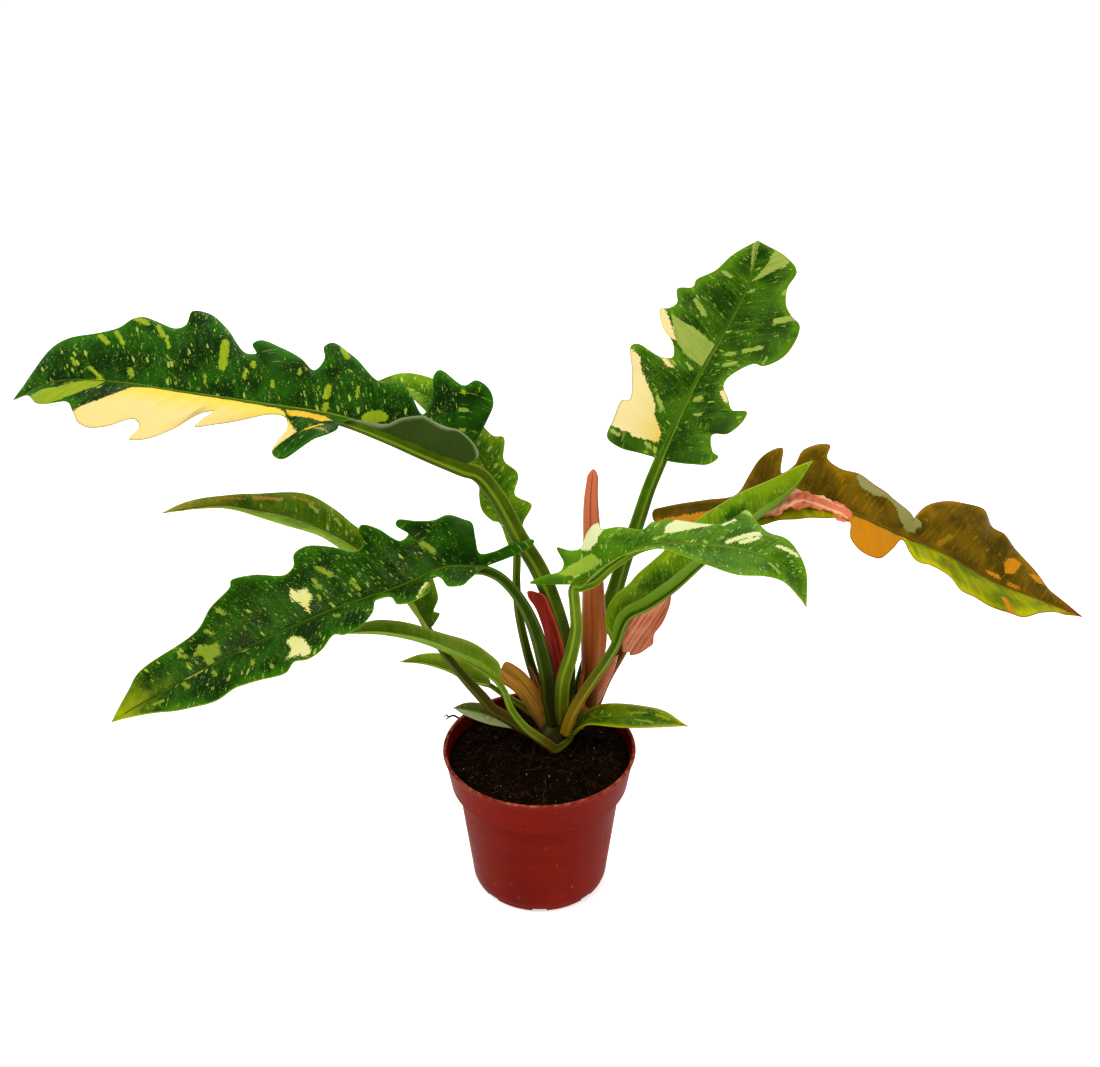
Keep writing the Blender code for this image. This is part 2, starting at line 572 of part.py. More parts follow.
def build_pot():
    """A thin moulded pot: tapered body, flared collar, rolled rim and a drained foot."""
    foot = POT_HEIGHT - COLLAR_HEIGHT
    inner_rim = RIM_RADIUS - RIM_BEAD - WALL
    inner_base = wall_radius(WALL) - WALL
    under_bead = POT_HEIGHT - RIM_BEAD_DROP - LEDGE_EASE
    profile = [
        (0, 0), (CENTRE_DISC_RADIUS, 0), (CENTRE_DISC_RADIUS + FOOT_SLOPE, CHANNEL_RISE),
        (FOOT_RING_INNER - FOOT_SLOPE, CHANNEL_RISE), (FOOT_RING_INNER, 0),
        (BASE_RADIUS - 1.6, 0), (BASE_RADIUS - CHAMFER, CHAMFER), (wall_radius(1.8), 1.8),
        (BODY_TOP_RADIUS, foot - LEDGE_EASE), (COLLAR_FOOT_RADIUS - CHAMFER, foot),
        (COLLAR_FOOT_RADIUS, foot + LEDGE_EASE), (collar_radius(under_bead), under_bead),
        (RIM_RADIUS, POT_HEIGHT - RIM_BEAD_DROP), (RIM_RADIUS, POT_HEIGHT - CHAMFER),
        (RIM_RADIUS - CHAMFER, POT_HEIGHT), (inner_rim + 0.3, POT_HEIGHT),
        (inner_rim, POT_HEIGHT - CHAMFER), (COLLAR_FOOT_RADIUS - WALL, foot + WALL),
        (BODY_TOP_RADIUS - WALL, foot + 0.4), (inner_base - 0.4, WALL + LEDGE_EASE),
        (inner_base - 1.2, WALL), (FOOT_RING_INNER + 0.6, WALL),
        (FOOT_RING_INNER - 1.0, CHANNEL_RISE + WALL),
        (CENTRE_DISC_RADIUS + 1.0, CHANNEL_RISE + WALL), (CENTRE_DISC_RADIUS - 0.6, WALL),
        (0, WALL),
    ]
    pot = turn_profile("pot", profile, POT_SEGMENTS, principled("terracotta_plastic", *TERRACOTTA))
    for index in range(DRAIN_COUNT):
        turn = -pi / 2 + index * 2 * pi / DRAIN_COUNT
        out = np.array([np.cos(turn), np.sin(turn)])
        bpy.ops.mesh.primitive_cube_add(size=1)
        slot = bpy.context.object
        slot.scale = [size * MM for size in SLOT_SIZE]
        spot = out * (BASE_RADIUS + SLOT_OVERHANG - SLOT_SIZE[0] / 2) * MM
        add_cutter(f"slot_{index}", slot, (*spot, SLOT_HEIGHT * MM), turn, pot)
        half = turn + pi / DRAIN_COUNT
        bpy.ops.mesh.primitive_cylinder_add(
            vertices=12, radius=DRAIN_HOLE_RADIUS * MM, depth=DRAIN_HOLE_DEPTH * MM)
        spot = np.array([np.cos(half), np.sin(half)]) * DRAIN_HOLE_CIRCLE * MM
        centre = (*spot, DRAIN_HOLE_HEIGHT * MM)
        add_cutter(f"hole_{index}", bpy.context.object, centre, half, pot)
    return pot


def build_soil():
    """The root ball and mix: it fills the pot to a little below the rim."""
    foot = POT_HEIGHT - COLLAR_HEIGHT
    slack = WALL + GAP
    profile = [
        (0, SOIL_FLOOR), (wall_radius(SOIL_FLOOR) - slack - 0.4, SOIL_FLOOR),
        (BODY_TOP_RADIUS - slack, foot + WALL - 0.4),
        (COLLAR_FOOT_RADIUS - slack, foot + WALL + 0.7),
        (collar_radius(SOIL_EDGE_HEIGHT) - slack - 0.3, SOIL_EDGE_HEIGHT),
        (48, SOIL_EDGE_HEIGHT + 0.8), (26, SOIL_CROWN_HEIGHT), (0, SOIL_CROWN_HEIGHT),
    ]
    return turn_profile("potting_mix", profile, SOIL_SEGMENTS, principled("peat_mix", *PEAT))


def spread(values, count):
    """Read a short list of values at more, equally spaced places."""
    return np.interp(np.linspace(0, 1, count), np.linspace(0, 1, len(values)), values)


def build_crown(material):
    """The short leaning stem that every stalk leaves from."""
    line = smooth_route(CROWN_ROUTE, CROWN_RINGS)[0]
    return sweep_tube("crown", line, spread(CROWN_RADII, CROWN_RINGS), CROWN_SIDES, material)


def build_roll():
    """The newest leaf, still rolled into a spear."""
    line = smooth_route(ROLL_ROUTE, ROLL_RINGS)[0]
    material = principled("rolled_leaf", ROLL_COLOUR, LEAF_ROUGHNESS)
    return sweep_tube("new_leaf_roll", line, spread(ROLL_RADII, ROLL_RINGS), ROLL_SIDES, material)


def main():
    clear_scene()
    build_pot()
    build_soil()
    stem = principled("stem_green", *STEM_GREEN)
    build_crown(stem)
    for name, leaf in LEAVES.items():
        green = principled(f"blade_{name}", LEAF_COLOURS[name], LEAF_ROUGHNESS)
        build_blade(f"leaf_{name}", leaf, BLADE_THICKNESS, green)
        build_stalk(f"stalk_{name}", leaf, STALKS[name], stem)
    for name, sheath in SHEATHS.items():
        dry = principled(name, SHEATH_COLOURS[name], SHEATH_ROUGHNESS)
        build_blade(name, sheath, SHEATH_THICKNESS, dry)
    build_roll()


main()
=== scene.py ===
# %% [markdown]
# # A potted philodendron, built on its CAD frame
# The plant is a lobed, cream-splashed philodendron in a 12 cm nursery pot. The CAD model holds the
# right sizes and places, and everything here is laid over it in the same frame: the pot's axis is
# Z, the pot stands on z = 0, and +X runs along the spread of the two longest leaves.
# Lengths are written in millimetres, because a leaf is easiest to think of in millimetres.

# %% Load the fixed frame
import bpy
import numpy as np
from math import pi, radians
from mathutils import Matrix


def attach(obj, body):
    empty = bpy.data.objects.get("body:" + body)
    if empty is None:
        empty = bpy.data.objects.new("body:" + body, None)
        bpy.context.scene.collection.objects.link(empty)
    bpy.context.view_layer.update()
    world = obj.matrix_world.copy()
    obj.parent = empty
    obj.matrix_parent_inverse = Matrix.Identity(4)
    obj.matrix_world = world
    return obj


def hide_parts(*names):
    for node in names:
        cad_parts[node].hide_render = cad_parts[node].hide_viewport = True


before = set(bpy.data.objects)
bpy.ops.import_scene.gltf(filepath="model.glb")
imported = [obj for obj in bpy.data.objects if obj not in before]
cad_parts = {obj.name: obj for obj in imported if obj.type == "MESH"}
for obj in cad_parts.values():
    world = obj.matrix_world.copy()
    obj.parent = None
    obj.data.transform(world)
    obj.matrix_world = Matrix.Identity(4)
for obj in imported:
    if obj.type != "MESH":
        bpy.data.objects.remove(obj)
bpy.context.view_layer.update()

MM = 0.001

# %% [markdown]
# ## Camera, floor and light
# The camera looks down on the pot by about 29 degrees from a metre away, with a normal 50 mm
# lens. The floor is a plain pale sheet, and three broad soft lamps stand round the
# plant as in a small product studio, so that glossy leaves pick up wide, gentle highlights.

# %% Camera
CAMERA_PLACE = (0.0066, -0.7715, 0.6720)
CAMERA_TILT = 61.3
LENS = 50
DISPLAY_GAMMA = 0.84

camera_data = bpy.data.cameras.new("studio_camera")
camera_data.lens = LENS
camera = bpy.data.objects.new("studio_camera", camera_data)
camera.location = CAMERA_PLACE
camera.rotation_euler = (radians(CAMERA_TILT), 0, 0)
bpy.context.collection.objects.link(camera)
bpy.context.scene.camera = camera
bpy.context.scene.view_settings.view_transform = "Standard"
bpy.context.scene.view_settings.gamma = DISPLAY_GAMMA
print("camera at", CAMERA_PLACE, "tilted", CAMERA_TILT)


# %% Soft lamps
def soft_lamp(name, place, aim, size, watts):
    """A square area lamp at `place` whose face is turned towards `aim`."""
    data = bpy.data.lights.new(name, "AREA")
    data.size = size
    data.energy = watts
    lamp = bpy.data.objects.new(name, data)
    lamp.location = place
    direction = np.subtract(aim, place)
    drop = np.arctan2(np.hypot(direction[0], direction[1]), -direction[2])
    heading = np.arctan2(direction[1], direction[0]) - pi / 2
    lamp.rotation_euler = (drop, 0, heading)
    bpy.context.collection.objects.link(lamp)


AIM = (0.0, 0.0, 0.2)
WORLD_STRENGTH = 0.5
soft_lamp("key", (-0.8, -0.6, 1.8), AIM, 1.0, 20)
soft_lamp("fill", (1.4, -0.7, 0.9), AIM, 1.2, 6)
soft_lamp("back", (0.2, 1.3, 1.4), AIM, 1.2, 12)

world = bpy.data.worlds.new("studio")
world.use_nodes = True
background = world.node_tree.nodes["Background"]
background.inputs["Color"].default_value = (1, 1, 1, 1)
background.inputs["Strength"].default_value = WORLD_STRENGTH
bpy.context.scene.world = world
print("lamps:", [light.name for light in bpy.data.lights])

# %% [markdown]
# ## Surfaces as grids
# Every piece is a grid of points worked out with numpy, so one helper turns such grids into a mesh.
# It takes the points in millimetres, the quads as rows of four point numbers, and any values
# that the material reads back from the surface as named attributes.


# %% Mesh helpers
LATTICE = 32


def grid_quads(rows, columns, offset=0, wrap=False, flip=False):
    """Quads between neighbouring points of a rows x columns grid; `wrap` joins the last column to
    the first, and `flip` turns the faces round."""
    spans = columns if wrap else columns - 1
    row, column = np.meshgrid(np.arange(rows - 1), np.arange(spans), indexing="ij")
    here = row * columns
    beside = (column + 1) % columns
    corners = [here + column, here + beside, here + columns + beside, here + columns + column]
    quads = np.stack(corners, axis=-1).reshape(-1, 4)
    return (quads[:, ::-1] if flip else quads) + offset


def fan(ring, hub):
    """Triangles from each step of a closed ring of point numbers to one hub."""
    ring = np.asarray(ring)
    return np.stack([ring, np.roll(ring, -1), np.full(len(ring), hub)], axis=1)


def surface(name, points, faces, material, notes=None, smooth=True):
    """A mesh object from points in millimetres and a list of face arrays, with point attributes."""
    mesh = bpy.data.meshes.new(name)
    points = np.asarray(points, np.float32).reshape(-1, 3) * MM
    corners = np.concatenate([np.asarray(block).ravel() for block in faces])
    sizes = np.concatenate([np.full(len(block), np.asarray(block).shape[1]) for block in faces])
    mesh.vertices.add(len(points))
    mesh.vertices.foreach_set("co", points.ravel())
    mesh.loops.add(len(corners))
    mesh.loops.foreach_set("vertex_index", corners.astype(np.int32))
    mesh.polygons.add(len(sizes))
    starts = np.concatenate([[0], np.cumsum(sizes)[:-1]])
    mesh.polygons.foreach_set("loop_start", starts.astype(np.int32))
    mesh.update(calc_edges=True)
    mesh.validate()
    mesh.polygons.foreach_set("use_smooth", np.full(len(mesh.polygons), smooth))
    for key, values in (notes or {}).items():
        layer = mesh.attributes.new(key, "FLOAT_VECTOR", "POINT")
        layer.data.foreach_set("vector", np.asarray(values, np.float32).ravel())
    mesh.materials.append(material)
    piece = bpy.data.objects.new(name, mesh)
    bpy.context.collection.objects.link(piece)
    return piece


def settle(piece, slot, *nodes):
    """A finished piece rides on the one body and stands for its CAD nodes; `slot` is not used."""
    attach(piece, "root")
    if nodes:
        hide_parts(*nodes)
    print(f"{piece.name}: {len(piece.data.vertices)} points, {len(piece.data.polygons)} faces")
    return piece


def lattice_noise(points, cell, seed):
    """Smooth noise from -1 to 1: random numbers sit on a cubic lattice of the given cell size, and
    each point blends the eight round it with the weights 3t^2 - 2t^3."""
    table = np.random.default_rng(seed).random((LATTICE, LATTICE, LATTICE)) * 2 - 1
    spot = np.asarray(points, float) / cell
    base = np.floor(spot).astype(int)
    share = spot - base
    share = share * share * (3 - 2 * share)
    total = np.zeros(spot.shape[:-1])
    for corner in range(8):
        step = np.array([corner & 1, corner >> 1 & 1, corner >> 2])
        i, j, k = np.moveaxis((base + step) % LATTICE, -1, 0)
        total += np.prod(np.where(step == 1, share, 1 - share), axis=-1) * table[i, j, k]
    return total


def ease(values, low, high):
    """0 below low, 1 above high, and 3t^2 - 2t^3 between."""
    t = np.clip((values - low) / (high - low), 0, 1)
    return t * t * (3 - 2 * t)


def blurred(values, width):
    """Each value averaged with its neighbours, `width` of them, the ends held."""
    return np.convolve(np.pad(values, width // 2, mode="edge"), np.ones(width) / width, "valid")


def spread(values, count, width=1):
    """A short list of values read at `count` equal steps, then blurred."""
    known = np.linspace(0, 1, len(values))
    return blurred(np.interp(np.linspace(0, 1, count), known, values), width)


print("mesh helpers ready")

# %% [markdown]
# ## The floor
# A studio sweep is lit so strongly that it shows as plain white. A wide pale sheet that glows a
# little gives the same, and still takes a faint shadow under the pot.

# %% Floor
STAGE_HALF = 6000.0
STAGE_WHITE = (0.86, 0.86, 0.86, 1)
STAGE_ROUGHNESS = 0.8
STAGE_GLOW = 0.6

stage_white = bpy.data.materials.new("stage_white")
stage_white.use_nodes = True
stage_shader = stage_white.node_tree.nodes["Principled BSDF"]
stage_shader.inputs["Base Color"].default_value = STAGE_WHITE
stage_shader.inputs["Roughness"].default_value = STAGE_ROUGHNESS
stage_shader.inputs["Emission Color"].default_value = (1, 1, 1, 1)
stage_shader.inputs["Emission Strength"].default_value = STAGE_GLOW
corners = np.array([(-1, -1, 0), (1, -1, 0), (1, 1, 0), (-1, 1, 0)]) * STAGE_HALF
floor = surface("floor", corners, [[(0, 1, 2, 3)]], stage_white)
print("floor is", 2 * STAGE_HALF * MM, "m wide")

# %% [markdown]
# ## A shorthand for materials
# A node tree is a recipe: each node takes numbers or the results of other nodes. Writing it as
# calls keeps a recipe readable, so `Recipe` adds one node per call and links whatever is passed.
# Colours are given as the eye reads them, 0 to 255, and turned into linear light here.


# %% Recipe and colour helpers
def tint(red, green, blue):
    """A linear RGBA colour from three display values of 0 to 255."""
    share = np.array([red, green, blue]) / 255
    linear = np.where(share <= 0.04045, share / 12.92, ((share + 0.055) / 1.055) ** 2.4)
    return (*linear.tolist(), 1.0)


class Recipe:
    """Adds nodes to a tree. An input is a number, a colour or another node's socket."""

    def __init__(self, tree):
        self.tree = tree

    def feed(self, socket, value):
        if isinstance(value, bpy.types.NodeSocket):
            self.tree.links.new(value, socket)
        else:
            socket.default_value = value

    def add(self, kind, inputs=(), out=0, **settings):
        node = self.tree.nodes.new(kind)
        for key, value in settings.items():
            setattr(node, key, value)
        for key, value in dict(inputs).items():
            self.feed(node.inputs[key], value)
        return node.outputs[out]

    def calc(self, operation, *values):
        return self.add("ShaderNodeMath", dict(enumerate(values)), operation=operation)

    def mix(self, share, first, second, blend="MIX"):
        return self.add("ShaderNodeMix", {0: share, 6: first, 7: second}, out=2,
                        data_type="RGBA", blend_type=blend)

    def plus(self, first, second):
        return self.calc("ADD", first, second)

    def times(self, first, second):
        return self.calc("MULTIPLY", first, second)

    def sway(self, value, strength):
        """A value round 0.5 made into one round 0, times a strength."""
        return self.times(self.calc("SUBTRACT", value, 0.5), strength)

    def stretch(self, vector, factors):
        """A vector with each axis scaled by its own factor."""
        return self.add("ShaderNodeVectorMath", {0: vector, 1: factors}, operation="MULTIPLY")

    def layer(self, ground, mask, strength, ink):
        """Cover the ground with an ink as far as the mask times a strength."""
        return self.mix(self.times(mask, strength), ground, ink)

    def span(self, value, low, high, to_low=0.0, to_high=1.0):
        """A smooth step from one value to another while the input goes from low to high."""
        inputs = {"Value": value, "From Min": low, "From Max": high, "To Min": to_low,
                  "To Max": to_high}
        return self.add("ShaderNodeMapRange", inputs, interpolation_type="SMOOTHSTEP")

    def noise(self, vector, scale, detail=2.0, roughness=0.5):
        inputs = {"Vector": vector, "Scale": scale, "Detail": detail, "Roughness": roughness}
        return self.add("ShaderNodeTexNoise", inputs)

    def bump(self, height, strength, distance):
        inputs = {"Strength": strength, "Distance": distance, "Height": height}
        return self.add("ShaderNodeBump", inputs)

    def note(self, name):
        """The three values of a point attribute."""
        vector = self.add("ShaderNodeAttribute", attribute_name=name, out="Vector")
        return vector, self.split(vector)

    def split(self, vector):
        node = self.tree.nodes.new("ShaderNodeSeparateXYZ")
        self.feed(node.inputs[0], vector)
        return tuple(node.outputs)

    def place(self):
        return self.add("ShaderNodeTexCoord", out="Object")

    def group(self, tree, inputs):
        return self.add("ShaderNodeGroup", inputs, node_tree=tree)


def new_group(name, inputs, outputs):
    """An empty node group. Inputs are a dict of name to (type, default), outputs of name to type."""
    tree = bpy.data.node_groups.new(name, "ShaderNodeTree")
    for key, (kind, default) in inputs.items():
        socket = tree.interface.new_socket(key, in_out="INPUT", socket_type=kind)
        if default is not None:
            socket.default_value = default
    for key, kind in outputs.items():
        tree.interface.new_socket(key, in_out="OUTPUT", socket_type=kind)
    enter = tree.nodes.new("NodeGroupInput")
    leave = tree.nodes.new("NodeGroupOutput")
    return Recipe(tree), enter.outputs, leave.inputs


WARM_SHEEN = (1.0, 0.92, 0.55, 1.0)


def new_finish(name, roughness=0.4, specular=0.1):
    """A material with its Principled shader; values that never change sit on its own sockets."""
    material = bpy.data.materials.new(name)
    material.use_nodes = True
    shader = material.node_tree.nodes["Principled BSDF"]
    shader.inputs["Roughness"].default_value = roughness
    shader.inputs["Specular IOR Level"].default_value = specular
    shader.inputs["Specular Tint"].default_value = WARM_SHEEN
    return material, Recipe(material.node_tree), shader


def paint(shader, colour, roughness, normal):
    """Wire the three results of a recipe into its shader."""
    for key, socket in (("Base Color", colour), ("Roughness", roughness), ("Normal", normal)):
        shader.id_data.links.new(socket, shader.inputs[key])


NUMBER, VECTOR = "NodeSocketFloat", "NodeSocketVector"
print("recipe helpers ready")

# %% [markdown]
# ## Shared effects
# Three effects come back on almost every part of the plant. **Flecks** are the short pale dashes
# that follow the side veins: a cell pattern stretched along the vein, in which only a share of the
# cells holds a fleck. **Ragged patch** turns a distance to an outline into a patch with an edge
# torn by noise, as the border between cream and green tissue is. **Skin** is the fine cell grain
# that breaks up the gloss of every leaf and stalk.

# %% Shared groups
FLECK_WANDER = 1.6
FLECK_RADIUS = 0.46
FLECK_FRAY = 0.5
FLECK_EDGE = 0.14
PATCH_EDGE = 0.15

recipe, enter, leave = new_group(
    "flecks",
    {"Vein": (VECTOR, None), "Cell": (NUMBER, 2.0), "Stretch": (NUMBER, 3.0), "Fill": (NUMBER, 0.3)},
    {"Mask": NUMBER})
across, reach, _ = recipe.split(enter["Vein"])
across = recipe.plus(across, recipe.times(recipe.noise(enter["Vein"], 0.5, 3.0), FLECK_WANDER))
across = recipe.calc("DIVIDE", across, enter["Cell"])
along = recipe.calc("DIVIDE", recipe.calc("DIVIDE", reach, enter["Cell"]), enter["Stretch"])
cells = recipe.tree.nodes.new("ShaderNodeTexVoronoi")
cells.voronoi_dimensions = "2D"
cells.inputs["Scale"].default_value = 1.0
recipe.feed(cells.inputs["Vector"], recipe.add("ShaderNodeCombineXYZ", {0: across, 1: along}))
chance = recipe.split(cells.outputs["Color"])[0]
empty = recipe.calc("SUBTRACT", 1.0, enter["Fill"])
size = recipe.span(chance, empty, 1.0, 0.0, FLECK_RADIUS)
size = recipe.plus(size, recipe.sway(recipe.noise(enter["Vein"], 2.2, 2.0), FLECK_FRAY))
mask = recipe.span(recipe.calc("SUBTRACT", size, cells.outputs["Distance"]), 0.0, FLECK_EDGE)
mask = recipe.times(mask, recipe.span(chance, empty, 1.0, 0.0, 1.6))
recipe.feed(leave["Mask"], recipe.calc("MINIMUM", mask, 1.0))
flecks = recipe.tree

recipe, enter, leave = new_group(
    "ragged_patch",
    {"Distance": (NUMBER, 0.0), "Vein": (VECTOR, None), "Tear": (NUMBER, 2.0)},
    {"Mask": NUMBER})
combed = recipe.noise(recipe.stretch(enter["Vein"], (1.1, 0.22, 0.0)), 1.0, 4.0, 0.6)
ragged = recipe.plus(combed, recipe.noise(enter["Vein"], 0.8, 3.0, 0.7))
torn = recipe.times(recipe.calc("SUBTRACT", ragged, 1.0), enter["Tear"])
recipe.feed(leave["Mask"], recipe.span(recipe.plus(enter["Distance"], torn), -PATCH_EDGE, PATCH_EDGE))
ragged_patch = recipe.tree

recipe, enter, leave = new_group(
    "skin",
    {"Place": (VECTOR, None), "Grain": (NUMBER, 900.0)},
    {"Height": NUMBER})
pores = recipe.noise(enter["Place"], enter["Grain"], 2.0)
ripple = recipe.noise(enter["Place"], recipe.calc("DIVIDE", enter["Grain"], 7.0), 2.0)
recipe.feed(leave["Height"], recipe.plus(recipe.times(pores, 0.35), ripple))
skin = recipe.tree
print("groups:", [tree.name for tree in bpy.data.node_groups])

# %% [markdown]
# ## The leaf material
# All blades share one recipe with different inks. The surface carries four attributes:
# `flat` (distance along the midrib, signed distance out from it, 1 on the underside),
# `vein` (where the side vein leaves the midrib, distance along it, distance left to the margin),
# `patch` (distance inside the cream, lime and bronze sectors) and `trace` (inside the midrib
# line, share of the way to the tip).
# Layers go on as a painter would: ground green, paler margin, vein lines, flecks, then the
# variegated sectors, then the midrib line, then the matt underside, and last a painted silver
# highlight along the underside's edge.


# %% Leaf recipe
CREAM_FRINGE = tint(70, 72, 14)


def leaf_finish(name, deep, bright, fleck, inks, under, rib, margin, right=None, tip=None, underside_edge_highlight=None,
                fleck_fill=0.3, fine=0.25, margin_width=0.5, tip_from=0.85, tear=4.0, gloss=0.33,
                edge_glow=9.0):
    """Ground mixed from `deep` to `bright` by noise and nearness to the margin; `right` is the pair
    for the right half if it differs. `inks` are the cream near the rib, the cream far out, the lime
    and the bronze; the underside's edge ink is a silver highlight painted along its margin."""
    material, r, shader = new_finish(name)
    flat, (_, out, below) = r.note("flat")
    vein, (_, _, rest) = r.note("vein")
    _, (cream, lime, bronze) = r.note("patch")
    _, (in_rib, tipward, _) = r.note("trace")
    cloud = r.noise(flat, 0.045, 3.0)
    streak = r.noise(r.stretch(vein, (0.5, 0.06, 0.0)), 1.0, 3.0)

    def dashes(cell, stretch, fill):
        inputs = {"Vein": vein, "Cell": cell, "Stretch": stretch, "Fill": r.times(spread_out, fill)}
        return r.group(flecks, inputs)

    def torn(distance, strength):
        return r.group(ragged_patch, {"Distance": distance, "Vein": vein, "Tear": strength})

    glow = r.span(rest, edge_glow, 0.0, 0.0, 0.75)
    glow = r.times(glow, r.span(cloud, 0.25, 0.55, 0.4, 1.0))
    tone = r.plus(r.span(cloud, 0.32, 0.68, 0.0, 0.6), glow)
    tone = r.plus(tone, r.span(streak, 0.45, 0.75, -0.1, 0.35))
    tone = r.add("ShaderNodeClamp", {0: tone})
    ground = r.mix(tone, deep, bright)
    if right:
        ground = r.mix(r.span(out, -0.3, 0.3), ground, r.mix(tone, *right))
    if tip:
        ground = r.mix(r.span(r.plus(tipward, r.sway(cloud, 0.3)), tip_from, 1.0), ground, tip)

    spread_out = r.span(r.noise(flat, 0.07, 2.0), 0.35, 0.65, 0.45, 1.0)
    speck = r.calc("MAXIMUM", r.times(dashes(1.0, 4.0, fine), 0.6),
                   r.times(dashes(2.0, 3.2, fleck_fill * 0.4), 0.8))
    speck = r.calc("MAXIMUM", speck, r.times(dashes(0.62, 1.8, 0.35), 0.42))
    ground = r.mix(speck, ground, fleck)

    mottle = r.span(streak, 0.3, 0.8, 0.0, 0.35)
    ground = r.mix(torn(lime, tear * 0.8), ground, r.mix(mottle, inks[2], bright))
    ground = r.mix(torn(bronze, tear), ground, r.mix(mottle, inks[3], inks[0]))
    ground = r.layer(ground, torn(r.plus(cream, 0.5), tear), 0.6, CREAM_FRINGE)
    outward = r.plus(r.calc("ABSOLUTE", out), r.times(cloud, 14.0))
    pale = r.mix(r.span(outward, 6.0, 34.0), inks[0], inks[1])
    pale = r.mix(r.span(streak, 0.35, 0.75, 0.0, 0.22), pale, inks[0])
    ground = r.mix(torn(cream, tear), ground, pale)

    rim = r.span(r.plus(rest, r.times(cloud, 0.4)), margin_width + 0.35, margin_width * 0.6)
    ground = r.layer(ground, rim, 0.8, margin)
    ground = r.mix(r.span(in_rib, -0.25, 0.25), ground, rib)
    matt = r.mix(r.times(r.span(streak, 0.3, 0.7), 0.4), under, r.mix(0.5, deep, bright))
    ground = r.mix(below, ground, matt)
    # Painted highlight: a silver sheen painted along the underside's margin, where light catches the
    # folded edge.
    if underside_edge_highlight:
        painted_edge_highlight = r.times(below, r.span(r.plus(rest, r.times(cloud, 6.0)), 8.0, 3.0))
        ground = r.layer(ground, painted_edge_highlight, 0.7, underside_edge_highlight)

    grain = r.group(skin, {"Place": r.place(), "Grain": 1100.0})
    rough = r.plus(r.span(cloud, 0.3, 0.7, gloss - 0.05, gloss + 0.08), r.times(below, 0.22))
    paint(shader, ground, rough, r.bump(grain, 0.12, 0.0004))
    return material


print("leaf recipe ready")

# %% [markdown]
# ## How a leaf is shaped
# A blade grows out of its midrib, so it is described flat, as on a herbarium sheet, and then
# bent. Each outline is a list of points: distance along the midrib and distance out from it.
# Side veins run from the midrib to the margin; one grid row follows each vein, so lobes and
# notches come out with clean edges. `Midrib` then carries the flat blade into space: it moves
# along a smooth curve, and each half rises or falls by its own fold angle.


# %% Curves and the midrib frame
def smooth_route(points, count):
    """A centripetal Catmull-Rom curve through the points, read at equal steps of its length; also
    its length. Each span blends lines through its four neighbouring points three times over."""
    known = np.asarray(points, float)
    known = np.vstack([2 * known[0] - known[1], known, 2 * known[-1] - known[-2]])
    steps = np.sqrt(np.maximum(np.linalg.norm(np.diff(known, axis=0), axis=1), 1e-9))
    knots = np.concatenate([[0], np.cumsum(steps)])
    pieces = []
    for i in range(1, len(known) - 2):
        p0, p1, p2, p3 = known[i - 1:i + 3]
        t0, t1, t2, t3 = knots[i - 1:i + 3]
        t = np.linspace(t1, t2, 40, endpoint=False)[:, None]
        a1 = (t1 - t) / (t1 - t0) * p0 + (t - t0) / (t1 - t0) * p1
        a2 = (t2 - t) / (t2 - t1) * p1 + (t - t1) / (t2 - t1) * p2
        a3 = (t3 - t) / (t3 - t2) * p2 + (t - t2) / (t3 - t2) * p3
        b1 = (t2 - t) / (t2 - t0) * a1 + (t - t0) / (t2 - t0) * a2
        b2 = (t3 - t) / (t3 - t1) * a2 + (t - t1) / (t3 - t1) * a3
        pieces.append((t2 - t) / (t2 - t1) * b1 + (t - t1) / (t2 - t1) * b2)
    curve = np.vstack(pieces + [known[-2:-1]])
    length = np.concatenate([[0], np.cumsum(np.linalg.norm(np.diff(curve, axis=0), axis=1))])
    wanted = np.linspace(0, length[-1], count)
    return np.stack([np.interp(wanted, length, axis) for axis in curve.T], axis=1), length[-1]


def unit(vectors):
    """Scale each row to length one."""
    return vectors / np.linalg.norm(vectors, axis=-1, keepdims=True)


class Midrib:
    """The moving frame of a leaf: where its midrib is, and which way each half rises."""

    SAMPLES = 241
    BLUR = 9

    def __init__(self, leaf):
        self.line, self.length = smooth_route(leaf["route"], self.SAMPLES)
        self.reach = np.linspace(0, self.length, self.SAMPLES)
        ahead = unit(np.gradient(self.line, axis=0))
        self.ahead = unit(np.stack([blurred(axis, self.BLUR) for axis in ahead.T], axis=1))
        faces = np.asarray(leaf.get("face", [(0, 0, 1)]), float)
        at = np.linspace(0, self.length, len(faces))
        facing = np.stack([np.interp(self.reach, at, axis) for axis in faces.T], axis=1)
        self.right = unit(np.cross(self.ahead, facing))
        self.up = np.cross(self.right, self.ahead)
        folds = np.asarray(leaf["folds"], float)
        at = folds[:, 0] * self.length
        self.rise = {-1: np.radians(np.interp(self.reach, at, folds[:, 1])),
                     1: np.radians(np.interp(self.reach, at, folds[:, 2]))}

    def read(self, along, values):
        """Look up a frame array at distances along the midrib."""
        if values.ndim == 1:
            return np.interp(along, self.reach, values)
        return np.stack([np.interp(along, self.reach, axis) for axis in values.T], axis=-1)

    def place(self, along, out, side, lift):
        """Bend flat leaf points into space, then lift them off the leaf by a distance."""
        held = np.clip(along, 0, self.length)
        rise = self.read(held, self.rise[side])[..., None]
        right = self.read(held, self.right) * side
        up = self.read(held, self.up)
        spot = self.read(held, self.line) + self.read(held, self.ahead) * (along - held)[..., None]
        across = right * np.cos(rise) + up * np.sin(rise)
        normal = up * np.cos(rise) - right * np.sin(rise)
        return spot + across * out[..., None] + normal * lift[..., None]

    def spine(self, along, lift):
        """Points above or below the midrib itself."""
        return self.read(along, self.line) + self.read(along, self.up) * lift[..., None]


# %% Side veins
VEIN_SWEEP = 0.45
EVEN_SHARE = 0.06


